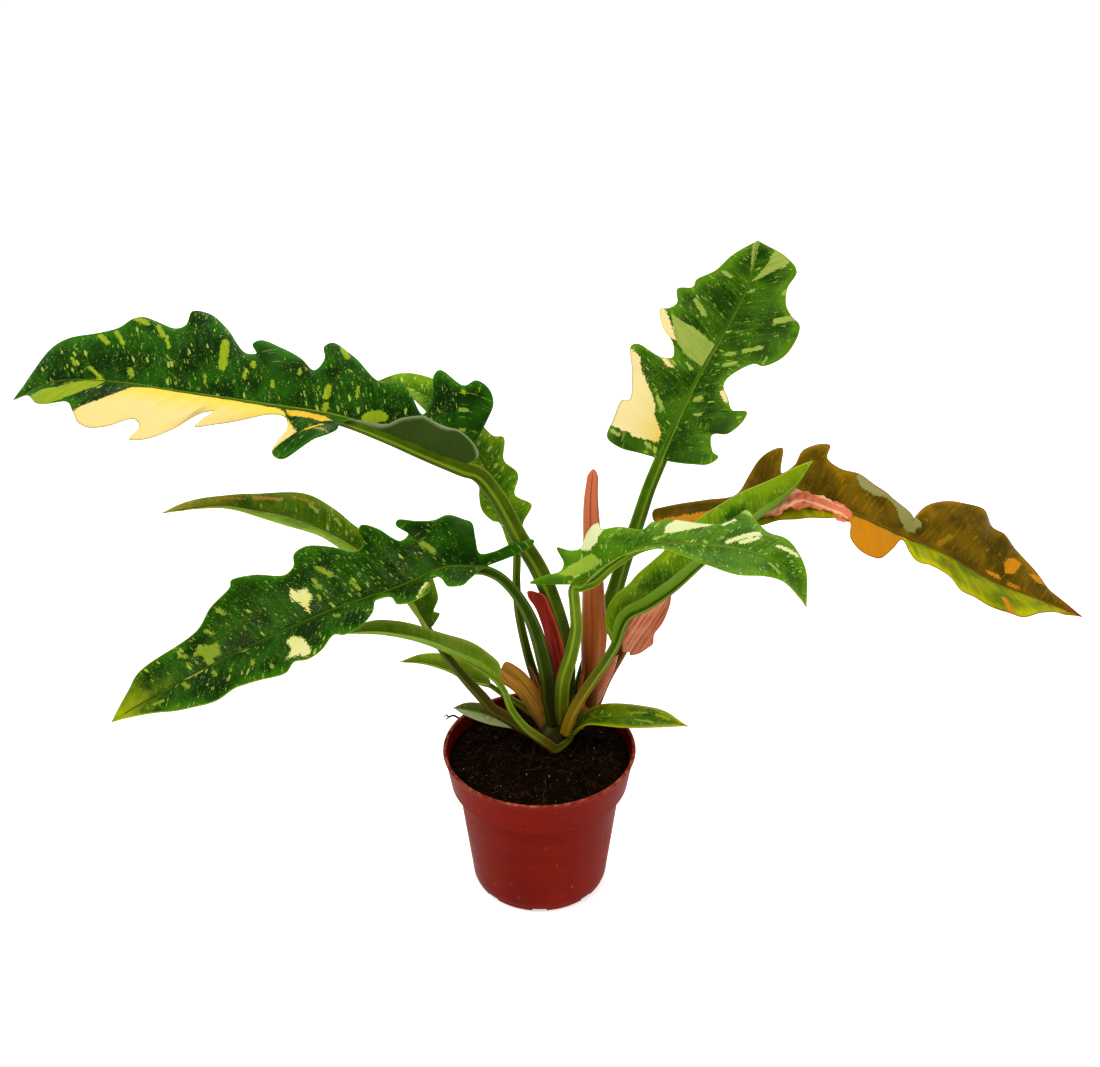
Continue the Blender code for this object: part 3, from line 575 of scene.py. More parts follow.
def vein_roots(edge, length):
    """Where the side vein that ends at each edge point leaves the midrib: swept back by
    VEIN_SWEEP, kept between the bounds that stop neighbouring veins from crossing, and made to
    advance steadily."""
    along, out = edge.T
    step_along, step_out = np.gradient(along), np.gradient(out)
    low = np.where(step_out > 1e-6, along - step_along / np.maximum(step_out, 1e-6) * out, -1e9)
    high = np.where(step_out < -1e-6, along + step_along / np.maximum(-step_out, 1e-6) * out, 1e9)
    low = np.maximum.accumulate(np.minimum(low, along + 0.3 * out))
    high = np.minimum.accumulate(np.maximum(high, 0)[::-1])[::-1]
    root = np.minimum(np.maximum(along - VEIN_SWEEP * out, low), high)
    root = np.maximum.accumulate(np.clip(root, 0, length))
    root = (1 - EVEN_SHARE) * root + EVEN_SHARE * np.linspace(0, length, len(root))
    return (root - root[0]) / (root[-1] - root[0]) * length


def vein_rows(leaf, length, rows):
    """Shared roots on the midrib, and the left and right edge point that each row reaches. Rows
    are spent evenly over the distance travelled along both margins and the midrib."""
    fine = np.linspace(0, length, 2401)
    sides = []
    travelled = 0.5 * fine
    for key in ("left", "right"):
        edge, girth = smooth_route(list(leaf[key]) + [(length, 0)], 1801)
        edge[:, 1] = np.maximum(edge[:, 1], 0)
        share = np.linspace(0, 1, len(edge))
        reached = np.interp(fine, vein_roots(edge, length), share)
        travelled = travelled + reached * girth
        sides.append((edge, share, reached))
    roots = np.interp(np.linspace(0, travelled[-1], rows + 1), travelled, fine)
    edges = []
    for edge, share, reached in sides:
        spot = np.interp(roots, fine, reached)
        edges.append(np.stack([np.interp(spot, share, axis) for axis in edge.T], axis=1))
    return roots, edges


# %% Variegated sectors as distances
def inside_outline(flat, outline):
    """Distance in from a closed outline on the flat leaf: positive inside and negative outside.
    The nearest of its straight edges gives the distance, and a crossing count gives the sign."""
    outline = np.asarray(outline, float)
    nearest = np.full(flat.shape[:-1], 1e9)
    inside = np.zeros(flat.shape[:-1], bool)
    for start, end in zip(outline, np.roll(outline, -1, axis=0)):
        run = end - start
        share = np.clip(((flat - start) @ run) / (run @ run), 0, 1)
        nearest = np.minimum(nearest, np.linalg.norm(flat - start - share[..., None] * run, axis=-1))
        spans = (start[1] > flat[..., 1]) != (end[1] > flat[..., 1])
        drop = run[1] if abs(run[1]) > 1e-9 else 1e-9
        inside ^= spans & (flat[..., 0] < start[0] + run[0] * (flat[..., 1] - start[1]) / drop)
    return np.where(inside, nearest, -nearest)


def inside_dash(flat, start, end, half_width):
    """Distance in from a round-ended dash between two points on the flat leaf."""
    start, end = np.asarray(start, float), np.asarray(end, float)
    run = end - start
    share = np.clip(((flat - start) @ run) / (run @ run), 0, 1)
    return half_width - np.linalg.norm(flat - start - share[..., None] * run, axis=-1)


def sector_distances(flat, sectors):
    """The cream, lime and bronze distances: for each ink, the most inside of all its shapes."""
    layers = []
    for ink in ("cream", "lime", "bronze"):
        best = np.full(flat.shape[:-1], -20.0)
        for outline in sectors.get(ink, []):
            best = np.maximum(best, inside_outline(flat, outline))
        for start, end, half_width in sectors.get(ink + "_dashes", []):
            best = np.maximum(best, inside_dash(flat, start, end, half_width))
        layers.append(best)
    return np.stack(layers, axis=-1)


print("leaf geometry ready")

# %% [markdown]
# ## From flat grid to a living blade
# A real blade is thin, quilted between its side veins, waved along its margin and thickened
# along the midrib. These are small height changes on top of the bent sheet, each a plain formula
# of where the point is: along a vein, between two veins, near the rib or near the margin. The upper
# and lower sheet are joined by a narrow wall, so the blade is closed and has a true edge.

# %% Blade builder
BLADE_HALF = 0.28
COLUMNS = 18
VEIN_GAP = 11.0
RIB_HALF = 1.6
OTHER_HALF = 331.0


def blade_relief(root, share, out, reach, leaf, side):
    """Height over the flat half in mm: quilting |sin| between veins, an arch between rib and
    margin, margin waves from noise along the rib, and a shallow gutter beside the rib."""
    gap = leaf.get("vein_gap", VEIN_GAP)
    quilt = np.abs(np.sin(pi * root / gap)) ** 0.6 - 0.6
    body = np.sin(pi * share ** 0.8)
    height = leaf.get("quilt", 0.55) * quilt * body
    minor = np.abs(np.sin(pi * root / gap * 5)) - 0.6
    height += 0.08 * minor * body
    height += leaf.get("arch", 1.5) * body * np.minimum(reach / 30, 1)
    where = np.stack([root + 0.3 * reach, np.full_like(root, 40.0 * side), 0 * root], axis=-1)
    wave = lattice_noise(where, leaf.get("wave_step", 15.0), 11 + leaf.get("seed", 0))
    height += leaf.get("wave", 1.6) * wave * share ** 2.5 * np.minimum(out / 14, 1)
    gutter = np.exp(-(out / 2.2) ** 2)
    return height - leaf.get("gutter", 0.5) * gutter


def build_blade(name, leaf, material):
    """A closed thin blade whose rows follow the side veins, with the attributes of its material."""
    midrib = Midrib(leaf)
    rows = leaf["fine_rows"]
    roots, edges = vein_rows(leaf, midrib.length, rows)
    share = np.linspace(0, 1, COLUMNS + 1) ** 0.9
    halves = {}
    for side, edge in ((-1, edges[0]), (1, edges[1])):
        s = np.broadcast_to(share, (rows + 1, COLUMNS + 1))
        root = np.broadcast_to(roots[:, None], s.shape)
        along = root + (edge[:, :1] - root) * s
        out = edge[:, 1:] * s
        full = np.hypot(edge[:, :1] - root, edge[:, 1:])
        reach, rest = full * s, full * (1 - s)
        relief = blade_relief(root, s, out, reach, leaf, side)
        flat = np.stack([along, out * side], axis=-1)
        tipward = along / midrib.length
        rib_half = leaf.get("rib", RIB_HALF) * np.clip(1 - tipward, 0.12, 1)
        halves[side] = dict(
            along=along, out=out, relief=relief,
            flat=flat, patch=sector_distances(flat, leaf.get("sectors", {})),
            vein=np.stack([root + OTHER_HALF * (side + 1), reach, rest], axis=-1),
            trace=np.stack([rib_half - out, np.clip(tipward, 0, 1), np.zeros_like(out)], axis=-1))
    sheets, notes = [], {"flat": [], "vein": [], "patch": [], "trace": []}
    thin = BLADE_HALF * (1 - 0.6 * share ** 8)
    for below, sign in ((0.0, 1), (1.0, -1)):
        left, right = (midrib.place(h["along"], h["out"], side, h["relief"] + sign * thin)
                       for side, h in halves.items())
        seam = (left[:, :1] + right[:, :1]) / 2
        sheets.append(np.concatenate([left[:, :0:-1], seam, right[:, 1:]], axis=1))
        for key in notes:
            whole = np.concatenate([halves[-1][key][:, :0:-1], halves[1][key]], axis=1)
            if key == "flat":
                whole = np.concatenate([whole, np.full(whole.shape[:2] + (1,), below)], axis=2)
            notes[key].append(whole.reshape(-1, 3))
    height, width = sheets[0].shape[:2]
    count = height * width
    rim = np.concatenate([np.arange(width), np.arange(1, height) * width + width - 1,
                          (height - 1) * width + np.arange(width - 2, -1, -1),
                          np.arange(height - 2, 0, -1) * width])
    ahead = np.roll(rim, -1)
    wall = np.stack([rim, count + rim, count + ahead, ahead], axis=1)
    faces = [grid_quads(height, width), grid_quads(height, width, count, flip=True), wall]
    points = np.concatenate([sheet.reshape(-1, 3) for sheet in sheets])
    return surface(name, points, face_out(points, faces), material,
                   {key: np.concatenate(parts) for key, parts in notes.items()})


def face_out(points, faces):
    """Turn every face round if the closed shape's signed volume is negative."""
    volume = 0.0
    for block in faces:
        block = np.asarray(block)
        for k in range(1, block.shape[1] - 1):
            a, b, c = (points[block[:, i]] for i in (0, k, k + 1))
            volume += np.einsum("ij,ij->i", a, np.cross(b, c)).sum()
    return [np.asarray(block)[:, ::-1] for block in faces] if volume < 0 else faces


print("blade builder ready, thickness", 2 * BLADE_HALF, "mm")

# %% [markdown]
# ## Stalks
# Each leaf stands on a round stalk with a shallow channel along its upper side, whose two lips are
# paler than the rest. The stalk does not stop at the blade: it runs on underneath and a little
# proud above as the midrib, and thins out towards the tip. So one tube is carried along the
# stalk's route and then along the leaf's own midrib, with a section that is a circle minus the
# channel, and it sinks into the blade where the two grow together.

# %% Stalk builder
STALK_RINGS = 220
STALK_SIDES = 40
RIB_REACH = 0.96
RIB_END_RADIUS = 0.35
RIB_SINK = 0.72
FOOT_CLASP = 1.25
CHANNEL_DEPTH = 0.22


def tube_frame(line, towards):
    """Unit vectors across a line: one leans towards a given direction, the other completes it."""
    ahead = unit(np.gradient(line, axis=0))
    lean = np.broadcast_to(np.asarray(towards, float), ahead.shape)
    lean = unit(lean - (lean * ahead).sum(axis=1, keepdims=True) * ahead)
    return lean, np.cross(ahead, lean)


def tube_faces(rings, sides, hubs):
    """Quads round a tube whose points are ring by ring, and fans to a hub point at each end."""
    first = np.arange(sides)
    last = (rings - 1) * sides + first
    return [grid_quads(rings, sides, wrap=True),
            fan(first[::-1], hubs[0]), fan(last, hubs[1])]


def carry_section(name, line, radius, towards, material, section, squash=1.0):
    """Carry a section round a line. `section(angle, share)` gives the radius factor at each angle
    from the `towards` side; `squash` flattens the tube in that direction. The attribute `girth`
    holds the angle from the channel, the distance travelled and the share of the whole."""
    lean, cross = tube_frame(line, towards)
    angle = np.linspace(-pi, pi, STALK_SIDES, endpoint=False)
    share = np.linspace(0, 1, len(line))
    travelled = np.concatenate([[0], np.cumsum(np.linalg.norm(np.diff(line, axis=0), axis=1))])
    factor = section(angle[None, :], share[:, None]) * np.asarray(radius)[:, None]
    points = (line[:, None] + lean[:, None] * (np.cos(angle) * factor)[..., None] * squash
              + cross[:, None] * (np.sin(angle) * factor)[..., None])
    notes = np.stack([np.broadcast_to(np.abs(angle), factor.shape),
                      np.broadcast_to(travelled[:, None], factor.shape),
                      np.broadcast_to(share[:, None], factor.shape)], axis=-1).reshape(-1, 3)
    count = factor.size
    points = np.concatenate([points.reshape(-1, 3), line[:1], line[-1:]])
    notes = np.concatenate([notes, notes[:1], notes[-1:]])
    faces = tube_faces(len(line), STALK_SIDES, (count, count + 1))
    return surface(name, points, face_out(points, faces), material, {"girth": notes})


def channelled(depth):
    """A circle with a channel of this depth at angle 0 and a low lip on each side of it."""
    def section(angle, share):
        groove = np.exp(-(angle / 0.40) ** 2)
        lips = np.exp(-((np.abs(angle) - 0.78) / 0.24) ** 2)
        fade = 1 - ease(share, 0.55, 0.75)
        return 1 - fade * (depth * groove - 0.4 * depth * lips)
    return section


def build_stalk(name, leaf, stalk, material, towards):
    """The stalk from crown to blade, and on as the midrib."""
    route, foot, middle, top = stalk
    midrib = Midrib(leaf)
    rib_share = np.linspace(0, 1, 40)
    rib_along = rib_share * RIB_REACH * midrib.length
    thinning = (1 - rib_share) ** leaf.get("rib_taper", 1.3)
    rib_radius = RIB_END_RADIUS + (top - RIB_END_RADIUS) * thinning
    rib = midrib.spine(rib_along, -rib_radius * RIB_SINK)
    line, length = smooth_route(np.vstack([route, rib]), STALK_RINGS)
    lower = smooth_route(np.vstack([route, rib[:1]]), 50)[1]
    knots = np.concatenate([[0, lower * 0.18, lower * 0.5, lower * 0.85], lower + rib_along])
    sizes = [foot * FOOT_CLASP, (foot + middle) / 2 * FOOT_CLASP, middle, top * 1.02]
    radius = np.interp(np.linspace(0, length, STALK_RINGS), knots, np.concatenate([sizes, rib_radius]))
    section = channelled(CHANNEL_DEPTH)
    return carry_section(name, line, blurred(radius, 9), towards, material, section)


def grow(name, leaf, stalk, blade_ink, stalk_ink, slot, towards=(0.2, -0.7, 0.6),
         stalk_slot="stem_green"):
    """Build the blade and the stalk of a leaf. They stand for the CAD's leaf_ and stalk_ nodes."""
    settle(build_blade(f"{name}_blade", leaf, blade_ink), slot, f"leaf_{name}")
    settle(build_stalk(f"{name}_stalk", leaf, stalk, stalk_ink, towards), stalk_slot, f"stalk_{name}")


def round_end(radius, rings):
    """Close the last rings of a tube in a rounded end, by the root of a falling share."""
    radius[-rings:] *= np.sqrt(np.linspace(1, 0.02, rings))
    return radius


def stalk_finish(name, deep, bright, lip, foot_ink, foot_reach=0.25, gloss=0.36, flush=None):
    """Green streaked along its length, painted shade on the flanks away from the channel, pale lips
    beside the channel, another ink at the foot, and `flush`, an ink that clouds the sides."""
    material, r, shader = new_finish(name)
    _, (angle, travelled, share) = r.note("girth")
    where = r.place()
    cloud = r.noise(where, 55.0, 3.0)
    unrolled = r.add("ShaderNodeCombineXYZ", {0: r.times(angle, 5.0), 1: r.times(travelled, 0.035)})
    fibre = r.noise(unrolled, 2.2, 4.0)
    painted_flank_shade = r.span(angle, 1.2, 2.6)
    tone = r.plus(r.span(fibre, 0.3, 0.7, 0.0, 0.55), r.span(cloud, 0.35, 0.65, 0.0, 0.4))
    ground = r.mix(tone, deep, bright)
    # Painted shade: the flanks and back of the stalk, turned away from its channel, are darkened with
    # the deep ink.
    ground = r.layer(ground, painted_flank_shade, 0.35, deep)
    if flush:
        ground = r.mix(r.times(r.span(r.noise(where, 38.0, 3.0), 0.42, 0.62), 0.75), ground, flush)
    lips = r.span(r.calc("ABSOLUTE", r.calc("SUBTRACT", angle, 0.72)), 0.30, 0.05)
    ground = r.layer(ground, lips, 0.75, lip)
    dots = r.span(r.noise(where, 1500.0, 1.0), 0.70, 0.76)
    ground = r.layer(ground, dots, 0.35, lip)
    low = r.span(r.plus(share, r.sway(cloud, 0.12)), foot_reach, 0.02)
    ground = r.layer(ground, low, 0.7, foot_ink)
    grain = r.plus(r.group(skin, {"Place": where, "Grain": 1300.0}), r.times(fibre, 1.4))
    rough = r.span(cloud, 0.3, 0.7, gloss - 0.06, gloss + 0.1)
    paint(shader, ground, rough, r.bump(grain, 0.25, 0.0004))
    return material


CREAM_INKS = (tint(236, 212, 84), tint(236, 210, 146), tint(158, 174, 38), tint(226, 184, 50))
FLECK = tint(178, 194, 84)
print("stalk builder ready")

# %% [markdown]
# ## The far-left leaf
# This is the longest blade. Its upper half is deep green, sprinkled with lime; most of its lower
# half is cream, yellow beside the rib and peach at the margin, where the tissue has no green at all.
# Near the tip green and a lime band come back. At its base both halves fold up, so that the
# grey-olive underside shows.

# %% Far-left leaf
far_left = dict(
    route=[(-42, 18, 285), (-63, 20, 293), (-88, 23, 303), (-114, 25, 312), (-159, 28, 319),
           (-204, 31, 325), (-244, 34, 330), (-276, 36, 329), (-303, 38, 317)],
    folds=[(0, 62, 42), (0.06, 56, 41), (0.12, 72, 38), (0.18, 57, 36), (0.24, 62, 34),
           (0.27, 6, 31), (0.31, 4, 28), (0.40, -22, 26), (0.52, -8, 26), (1, -5, 22)],
    left=[(-1, 3), (-5, 12), (2, 24), (14, 33), (22, 28), (43, 20), (51, 9), (64, 3), (74, 7),
          (75, 20), (81, 33), (89, 42), (98, 46), (108, 35), (103, 19), (107, 8), (116, 8),
          (143, 28), (152, 32), (144, 14), (151, 17), (162, 40), (172, 53), (180, 56), (179, 42),
          (184, 36), (196, 46), (205, 50), (212, 47), (219, 36), (226, 26), (236, 28), (243, 26),
          (259, 5)],
    right=[(0, 3), (-1, 14), (-3, 30), (-3, 42), (3, 50), (11, 52), (17, 46), (35, 51), (37, 46),
           (33, 34), (34, 20), (51, 34), (63, 30), (79, 44), (92, 53), (96, 49), (94, 40), (98, 30),
           (107, 37), (121, 44), (133, 47), (137, 43), (133, 36), (139, 35), (154, 52), (167, 62),
           (178, 62), (179, 50), (184, 46), (203, 52), (208, 50), (215, 41), (239, 34), (249, 28),
           (259, 15)],
    sectors=dict(
        cream=[[(226, -62), (218, -34), (207, -24), (196, -5), (184, -0.8), (118, -0.8), (109, -3),
                (104, -11), (100, -18), (96, -25), (107, -34), (114, -52)]],
        lime=[[(253, -10), (236, -9), (222, 0), (211, 1), (214, -8), (223, -19), (238, -30),
               (250, -26)],
              [(67, 0), (63, 8), (57, 12), (51, 11), (51, 7), (58, 2)]],
        lime_dashes=[((223, 35), (217, 28), 1.5), ((215, 38), (208, 28), 1.2),
                     ((208, 51), (200, 47), 2.0), ((194, 46), (189, 38), 1.5),
                     ((186, 35), (183, 29), 1.1), ((200, 10), (198, 5), 1.5),
                     ((152, 40), (149, 21), 2.5), ((224, 10), (215, 2), 1.0),
                     ((133, 28), (132, 25), 1.4), ((136, 20), (135, 15), 1.0),
                     ((158, 15), (156, 7), 0.9), ((234, 16), (231, 10), 1.0),
                     ((87, 18), (87, 11), 1.9), ((86, 6), (86, 2), 1.6),
                     ((105, 27), (105, 24), 1.1), ((119, 16), (118, 12), 1.1),
                     ((86, 49), (82, 42), 1.6), ((17, 45), (15, 40), 1.1), ((8, 49), (8, 44), 1.0),
                     ((72, 22), (71, 15), 0.9), ((50, 37), (44, 30), 1.2)],
        bronze=[[(108, 0), (94, -2), (84, -5), (79, -11), (85, -15), (92, -9), (99, -8), (104, -8)]],
        bronze_dashes=[((91, -24), (83, -20), 1.4)]),
    vein_gap=13, quilt=0.6, wave=1.4, arch=2.0, rib=1.5, seed=1, fine_rows=460)
far_left_stalk = ([(16, 20, 114), (17, 22, 123), (17, 25, 142), (14, 26, 164), (7, 25, 191),
                   (-1, 23, 214), (-11, 21, 234), (-24, 19, 263), (-35, 18, 279)], 3.2, 5.4, 4.6)
# The pale silver ink for the underside's edge is a painted highlight.
leaf_dark = leaf_finish(
    "leaf_dark", tint(16, 52, 4), tint(50, 112, 10), FLECK, CREAM_INKS, fleck_fill=0.30,
    margin=tint(112, 134, 30), under=tint(70, 86, 36), underside_edge_highlight=tint(176, 182, 140),
    rib=tint(104, 138, 36), fine=0.26, gloss=0.36)
stalk_olive = stalk_finish("stalk_olive", tint(58, 80, 4), tint(98, 122, 12), tint(138, 154, 40),
                           tint(64, 68, 8))
grow("far_left", far_left, far_left_stalk, leaf_dark, stalk_olive, "leaf_dark",
     towards=(0.5, -0.7, 0.5))

# %% [markdown]
# ## The left leaf
# A flat, lobed blade that reaches forward and down. Besides the fine flecks it has a few blotches
# as big as a fingertip, and its tip and margin turn yellow-green.

# %% Left leaf
left = dict(
    route=[(-32, -6, 231), (-54, -12, 234), (-80, -20, 226), (-117, -32, 218), (-159, -45, 204),
           (-198, -58, 189), (-223, -66, 177), (-239, -72, 169)],
    folds=[(0, 15, 30), (0.3, 0, 26), (1, -5, 22)],
    left=[(0, 3), (5, 10), (14, 24), (20, 32), (26, 28), (28, 12), (32, 6), (38, 22), (56, 19),
          (58, 9), (66, 6), (71, 18), (81, 28), (90, 29), (95, 25), (104, 33), (113, 36), (120, 34),
          (126, 40), (133, 39), (155, 30), (168, 32), (184, 27), (203, 14), (219, 5)],
    right=[(-3, 1), (-16, 6), (-31, 14), (-34, 19), (-24, 18), (-7, 10), (1, 9), (2, 20), (3, 31),
           (8, 33), (16, 36), (22, 33), (28, 35), (36, 41), (38, 38), (34, 29), (39, 27), (49, 41),
           (59, 48), (62, 44), (61, 36), (67, 32), (80, 41), (93, 47), (100, 45), (103, 37),
           (109, 34), (125, 43), (138, 47), (140, 43), (154, 36), (166, 26), (190, 22), (206, 19),
           (214, 12)],
    sectors=dict(
        cream=[[(116, -10), (111, -19), (109, -30), (113, -34), (116, -30), (124, -30), (119, -22),
                (121, -13)],
               [(109, 23), (104, 19), (101, 20), (99, 12), (103, 8), (103, 3), (106, 8), (107, 13),
                (111, 15)]],
        lime=[[(168, 16), (162, 11), (157, 12), (158, 4), (163, 3), (162, -2), (168, 2), (167, 8),
               (172, 10)]],
        lime_dashes=[((91, 29), (85, 21), 1.5), ((76, 13), (73, 7), 1.2),
                     ((151, 32), (148, 27), 1.5), ((180, 15), (176, 12), 1.0),
                     ((30, 19), (26, 12), 1.5), ((95, 23), (94, 16), 1.2),
                     ((161, 22), (158, 18), 1.1), ((183, -4), (180, -11), 1.2),
                     ((147, -1), (144, -2), 1.2), ((91, -7), (89, -10), 1.1),
                     ((165, -8), (164, -13), 1.2), ((133, -27), (132, -31), 1.0),
                     ((36, -14), (43, -22), 1.9), ((202, -8), (196, -10), 0.9),
                     ((142, -16), (142, -20), 1.1), ((96, 12), (95, 8), 1.0)],
        cream_dashes=[((181, -1), (171, -2), 0.7), ((44, -21), (36, -12), 0.8)]),
    vein_gap=11, quilt=0.6, wave=1.3, arch=1.6, rib=1.3, seed=2, fine_rows=420)
left_stalk = ([(9, 11, 108), (6, 9, 127), (5, 6, 144), (2, 3, 164), (-2, 0, 183), (-8, -3, 201),
               (-16, -5, 216), (-24, -6, 225)], 3.0, 4.4, 3.0)
leaf_dark_tipped = leaf_finish(
    "leaf_dark_tipped", tint(17, 54, 3), tint(58, 114, 10), FLECK,
    (tint(224, 220, 120), tint(226, 224, 160), tint(150, 166, 52), tint(220, 190, 80)),
    fleck_fill=0.2, margin=tint(150, 168, 40), margin_width=0.8, under=tint(86, 104, 44),
    rib=tint(88, 124, 30), fine=0.22, tip=tint(166, 174, 8), tip_from=0.84, gloss=0.36, tear=6.0)
stalk_deep = stalk_finish("stalk_deep", tint(34, 56, 4), tint(62, 90, 8), tint(104, 126, 30),
                          tint(60, 52, 10))
grow("left", left, left_stalk, leaf_dark_tipped, stalk_deep, "leaf_dark", towards=(0.1, -0.8, 0.4))

# %% [markdown]
# ## The upright leaf
# The highest leaf shows its whole face. A cream triangle fills its left basal lobe, a lime
# sector reaches from the rib to a cream-edged lobe, and stripes of both run beside the tip.

# %% Upright leaf
upright = dict(
    route=[(73, 62, 267), (88, 82, 293), (100, 96, 312), (118, 114, 337), (129, 126, 356),
           (134, 136, 380)],
    folds=[(0, 12, 12), (1, 10, 10)],
    face=[(-0.35, -0.75, 0.55)],
    left=[(0, 3), (-1, 12), (-3, 25), (0, 35), (12, 36), (25, 36), (27, 32), (44, 39), (56, 46),
          (59, 43), (58, 27), (61, 20), (68, 24), (73, 34), (83, 42), (86, 38), (92, 35), (101, 39),
          (106, 31), (112, 31), (125, 23), (138, 15)],
    right=[(0, 3), (1, 12), (3, 22), (6, 32), (12, 36), (14, 31), (24, 26), (27, 36), (39, 42),
           (45, 41), (43, 32), (50, 25), (57, 19), (69, 23), (77, 30), (78, 36), (90, 45),
           (108, 44), (112, 36), (117, 29), (125, 26), (134, 29), (142, 20)],
    sectors=dict(
        cream=[[(55, -48), (53, -38), (47, -34), (42, -28), (30, -16), (24, -14), (16, -6), (9, -5),
                (7, -18), (8, -36), (6, -48)],
               [(88, -48), (82, -36), (70, -22), (70, -31), (76, -46)],
               [(58, -27), (59, -22), (55, -15), (54, -20)]],
        lime=[[(84, -35), (82, -24), (82, -16), (79, 1), (63, 1), (65, -13), (70, -23)],
              [(153, -3), (153, 1), (143, 1), (137, 0.5), (126, 0), (137, -2)],
              [(124, 1), (137, 10), (150, 14), (144, 25), (137, 22), (132, 14), (127, 6)]],
        cream_dashes=[((52, 21), (48, 25), 1.9)],
        lime_dashes=[((128, 29), (122, 25), 1.2), ((106, 29), (113, 40), 2.0),
                     ((82, 20), (88, 29), 1.6), ((76, 10), (79, 15), 1.4),
                     ((69, 13), (73, 19), 1.4), ((42, 6), (44, 9), 1.9), ((33, 10), (34, 14), 1.2),
                     ((99, -25), (93, -16), 1.7), ((126, -17), (124, -12), 1.4),
                     ((61, -10), (59, -6), 1.0), ((118, 2), (120, 5), 1.0),
                     ((35, -17), (29, -11), 1.2), ((5, -34), (4, -29), 1.2),
                     ((6, -12), (4, -8), 1.0)]),
    vein_gap=10, quilt=0.7, wave=2.0, wave_step=12, arch=1.8, rib=1.6, seed=3, fine_rows=400)
upright_stalk = ([(24, 36, 111), (32, 43, 135), (39, 47, 156), (47, 52, 179), (53, 55, 201),
                  (60, 58, 223), (67, 61, 247)], 3.2, 5.0, 4.0)
leaf_dark_face = leaf_finish(
    "leaf_dark_face", tint(36, 74, 6), tint(90, 136, 18), FLECK,
    (tint(232, 206, 92), tint(236, 220, 164), tint(166, 180, 88), tint(236, 205, 70)),
    fleck_fill=0.2, margin=tint(134, 158, 30), margin_width=0.8, under=tint(88, 108, 50),
    rib=tint(104, 142, 32), fine=0.2, gloss=0.4)
stalk_leafy = stalk_finish("stalk_leafy", tint(52, 84, 4), tint(90, 126, 12), tint(138, 160, 44),
                           tint(66, 72, 8))
grow("upright", upright, upright_stalk, leaf_dark_face, stalk_leafy, "leaf_dark",
     towards=(-0.5, -0.7, 0.4))

# %% [markdown]
# ## The front leaf
# A bright satin leaf that arches over to the right. One basal lobe is pure cream, and whitish
# stripes follow its side veins.

# %% Front leaf
front = dict(
    route=[(20, -16, 225), (29, -18, 229), (42, -23, 244), (59, -31, 259), (88, -42, 266),
           (115, -54, 268), (134, -63, 262), (145, -70, 243)],
    folds=[(0, 50, 12), (0.15, 48, 10), (0.35, 8, 5), (1, 8, 5)],
    left=[(-5, 1.1), (-20, 4.5), (-27, 7), (-18, 9), (-6, 10), (-4, 15), (-7, 24), (2, 20),
          (12, 21), (20, 27), (27, 29), (28, 24), (36, 22), (50, 15), (54, 22), (66, 23), (92, 20),
          (99, 29), (102, 37), (111, 27), (119, 21), (129, 21), (140, 14)],
    right=[(0, 3), (6, 9), (20, 16), (36, 15), (49, 10), (64, 7), (85, 18), (102, 27), (118, 31),
           (130, 22), (142, 12)],
    sectors=dict(
        cream=[[(9, -20), (14, -26), (20, -30), (28, -32), (31, -26), (28, -22), (25, -17), (20, -15)],
               [(64, -9), (64, -16), (69, -26), (92, -24), (88, -17), (76, -11), (68, -8)]],
        lime=[[(-9, -8), (0, -11), (10, -14), (19, -13), (24, -4), (13, -5), (1, -5)]],
        cream_dashes=[((102, -4), (115, -16), 1.8), ((109, -5), (116, -12), 1.6),
                      ((128, -11), (137, -13), 1.5), ((95, -18), (100, -24), 1.0)],
        lime_dashes=[((129, 7), (136, 10), 1.2), ((89, -3), (91, -1), 1.0), ((60, -4), (66, -7), 1.0)]),
    vein_gap=10, quilt=0.45, wave=1.2, arch=1.6, rib=1.1, seed=4, fine_rows=340)
front_stalk = ([(14, 8, 111), (13.5, 4, 123), (14.5, -3, 150), (19, -7, 171), (22, -11, 193),
                (21, -14, 210)], 2.8, 4.2, 3.2)
leaf_bright = leaf_finish(
    "leaf_bright", tint(58, 104, 6), tint(106, 150, 22), tint(196, 212, 116),
    (tint(214, 222, 150), tint(226, 230, 182), tint(164, 188, 70), tint(220, 210, 90)),
    fleck_fill=0.22, margin=tint(158, 180, 60), margin_width=0.7, under=tint(122, 150, 60),
    rib=tint(128, 162, 50), fine=0.26, gloss=0.42)
stalk_bright = stalk_finish("stalk_bright", tint(72, 98, 6), tint(116, 138, 14), tint(150, 168, 44),
                            tint(84, 76, 14))
grow("front", front, front_stalk, leaf_bright, stalk_bright, "leaf_bright", towards=(0.4, -0.8, 0.2))

# %% [markdown]
# ## The lance leaf
# Long, unlobed and folded like a boat, it points up to the right. Its upper half catches more light
# and is yellower, and a pale hem marks its margin.

# %% Lance leaf
lance = dict(
    route=[(45, 5, 172), (52, 8, 189), (65, 11, 195), (80, 14, 205), (97, 18, 220), (129, 27, 245),
           (150, 33, 261), (161, 38, 278)],
    folds=[(0, 20, 60), (0.5, 15, 50), (1, 10, 40)],
    left=[(0, 3), (4, 8), (14, 14), (26, 19), (40, 25), (59, 27), (90, 28), (110, 26), (129, 21),
          (150, 12)],
    right=[(0, 3), (8, 7), (22, 12), (48, 15), (78, 18), (108, 17), (135, 12), (154, 5)],
    sectors=dict(lime_dashes=[((57, -20), (62, -21), 1.4), ((64, -17), (66, -18), 1.1),
                              ((97, -24), (102, -24), 1.0)]),
    vein_gap=12, quilt=0.35, wave=0.9, arch=1.4, rib=1.1, seed=5, fine_rows=260)
lance_stalk = ([(16, 3, 106), (21, 2, 124), (32, 3, 145), (41, 4, 160)], 2.6, 3.5, 3.0)
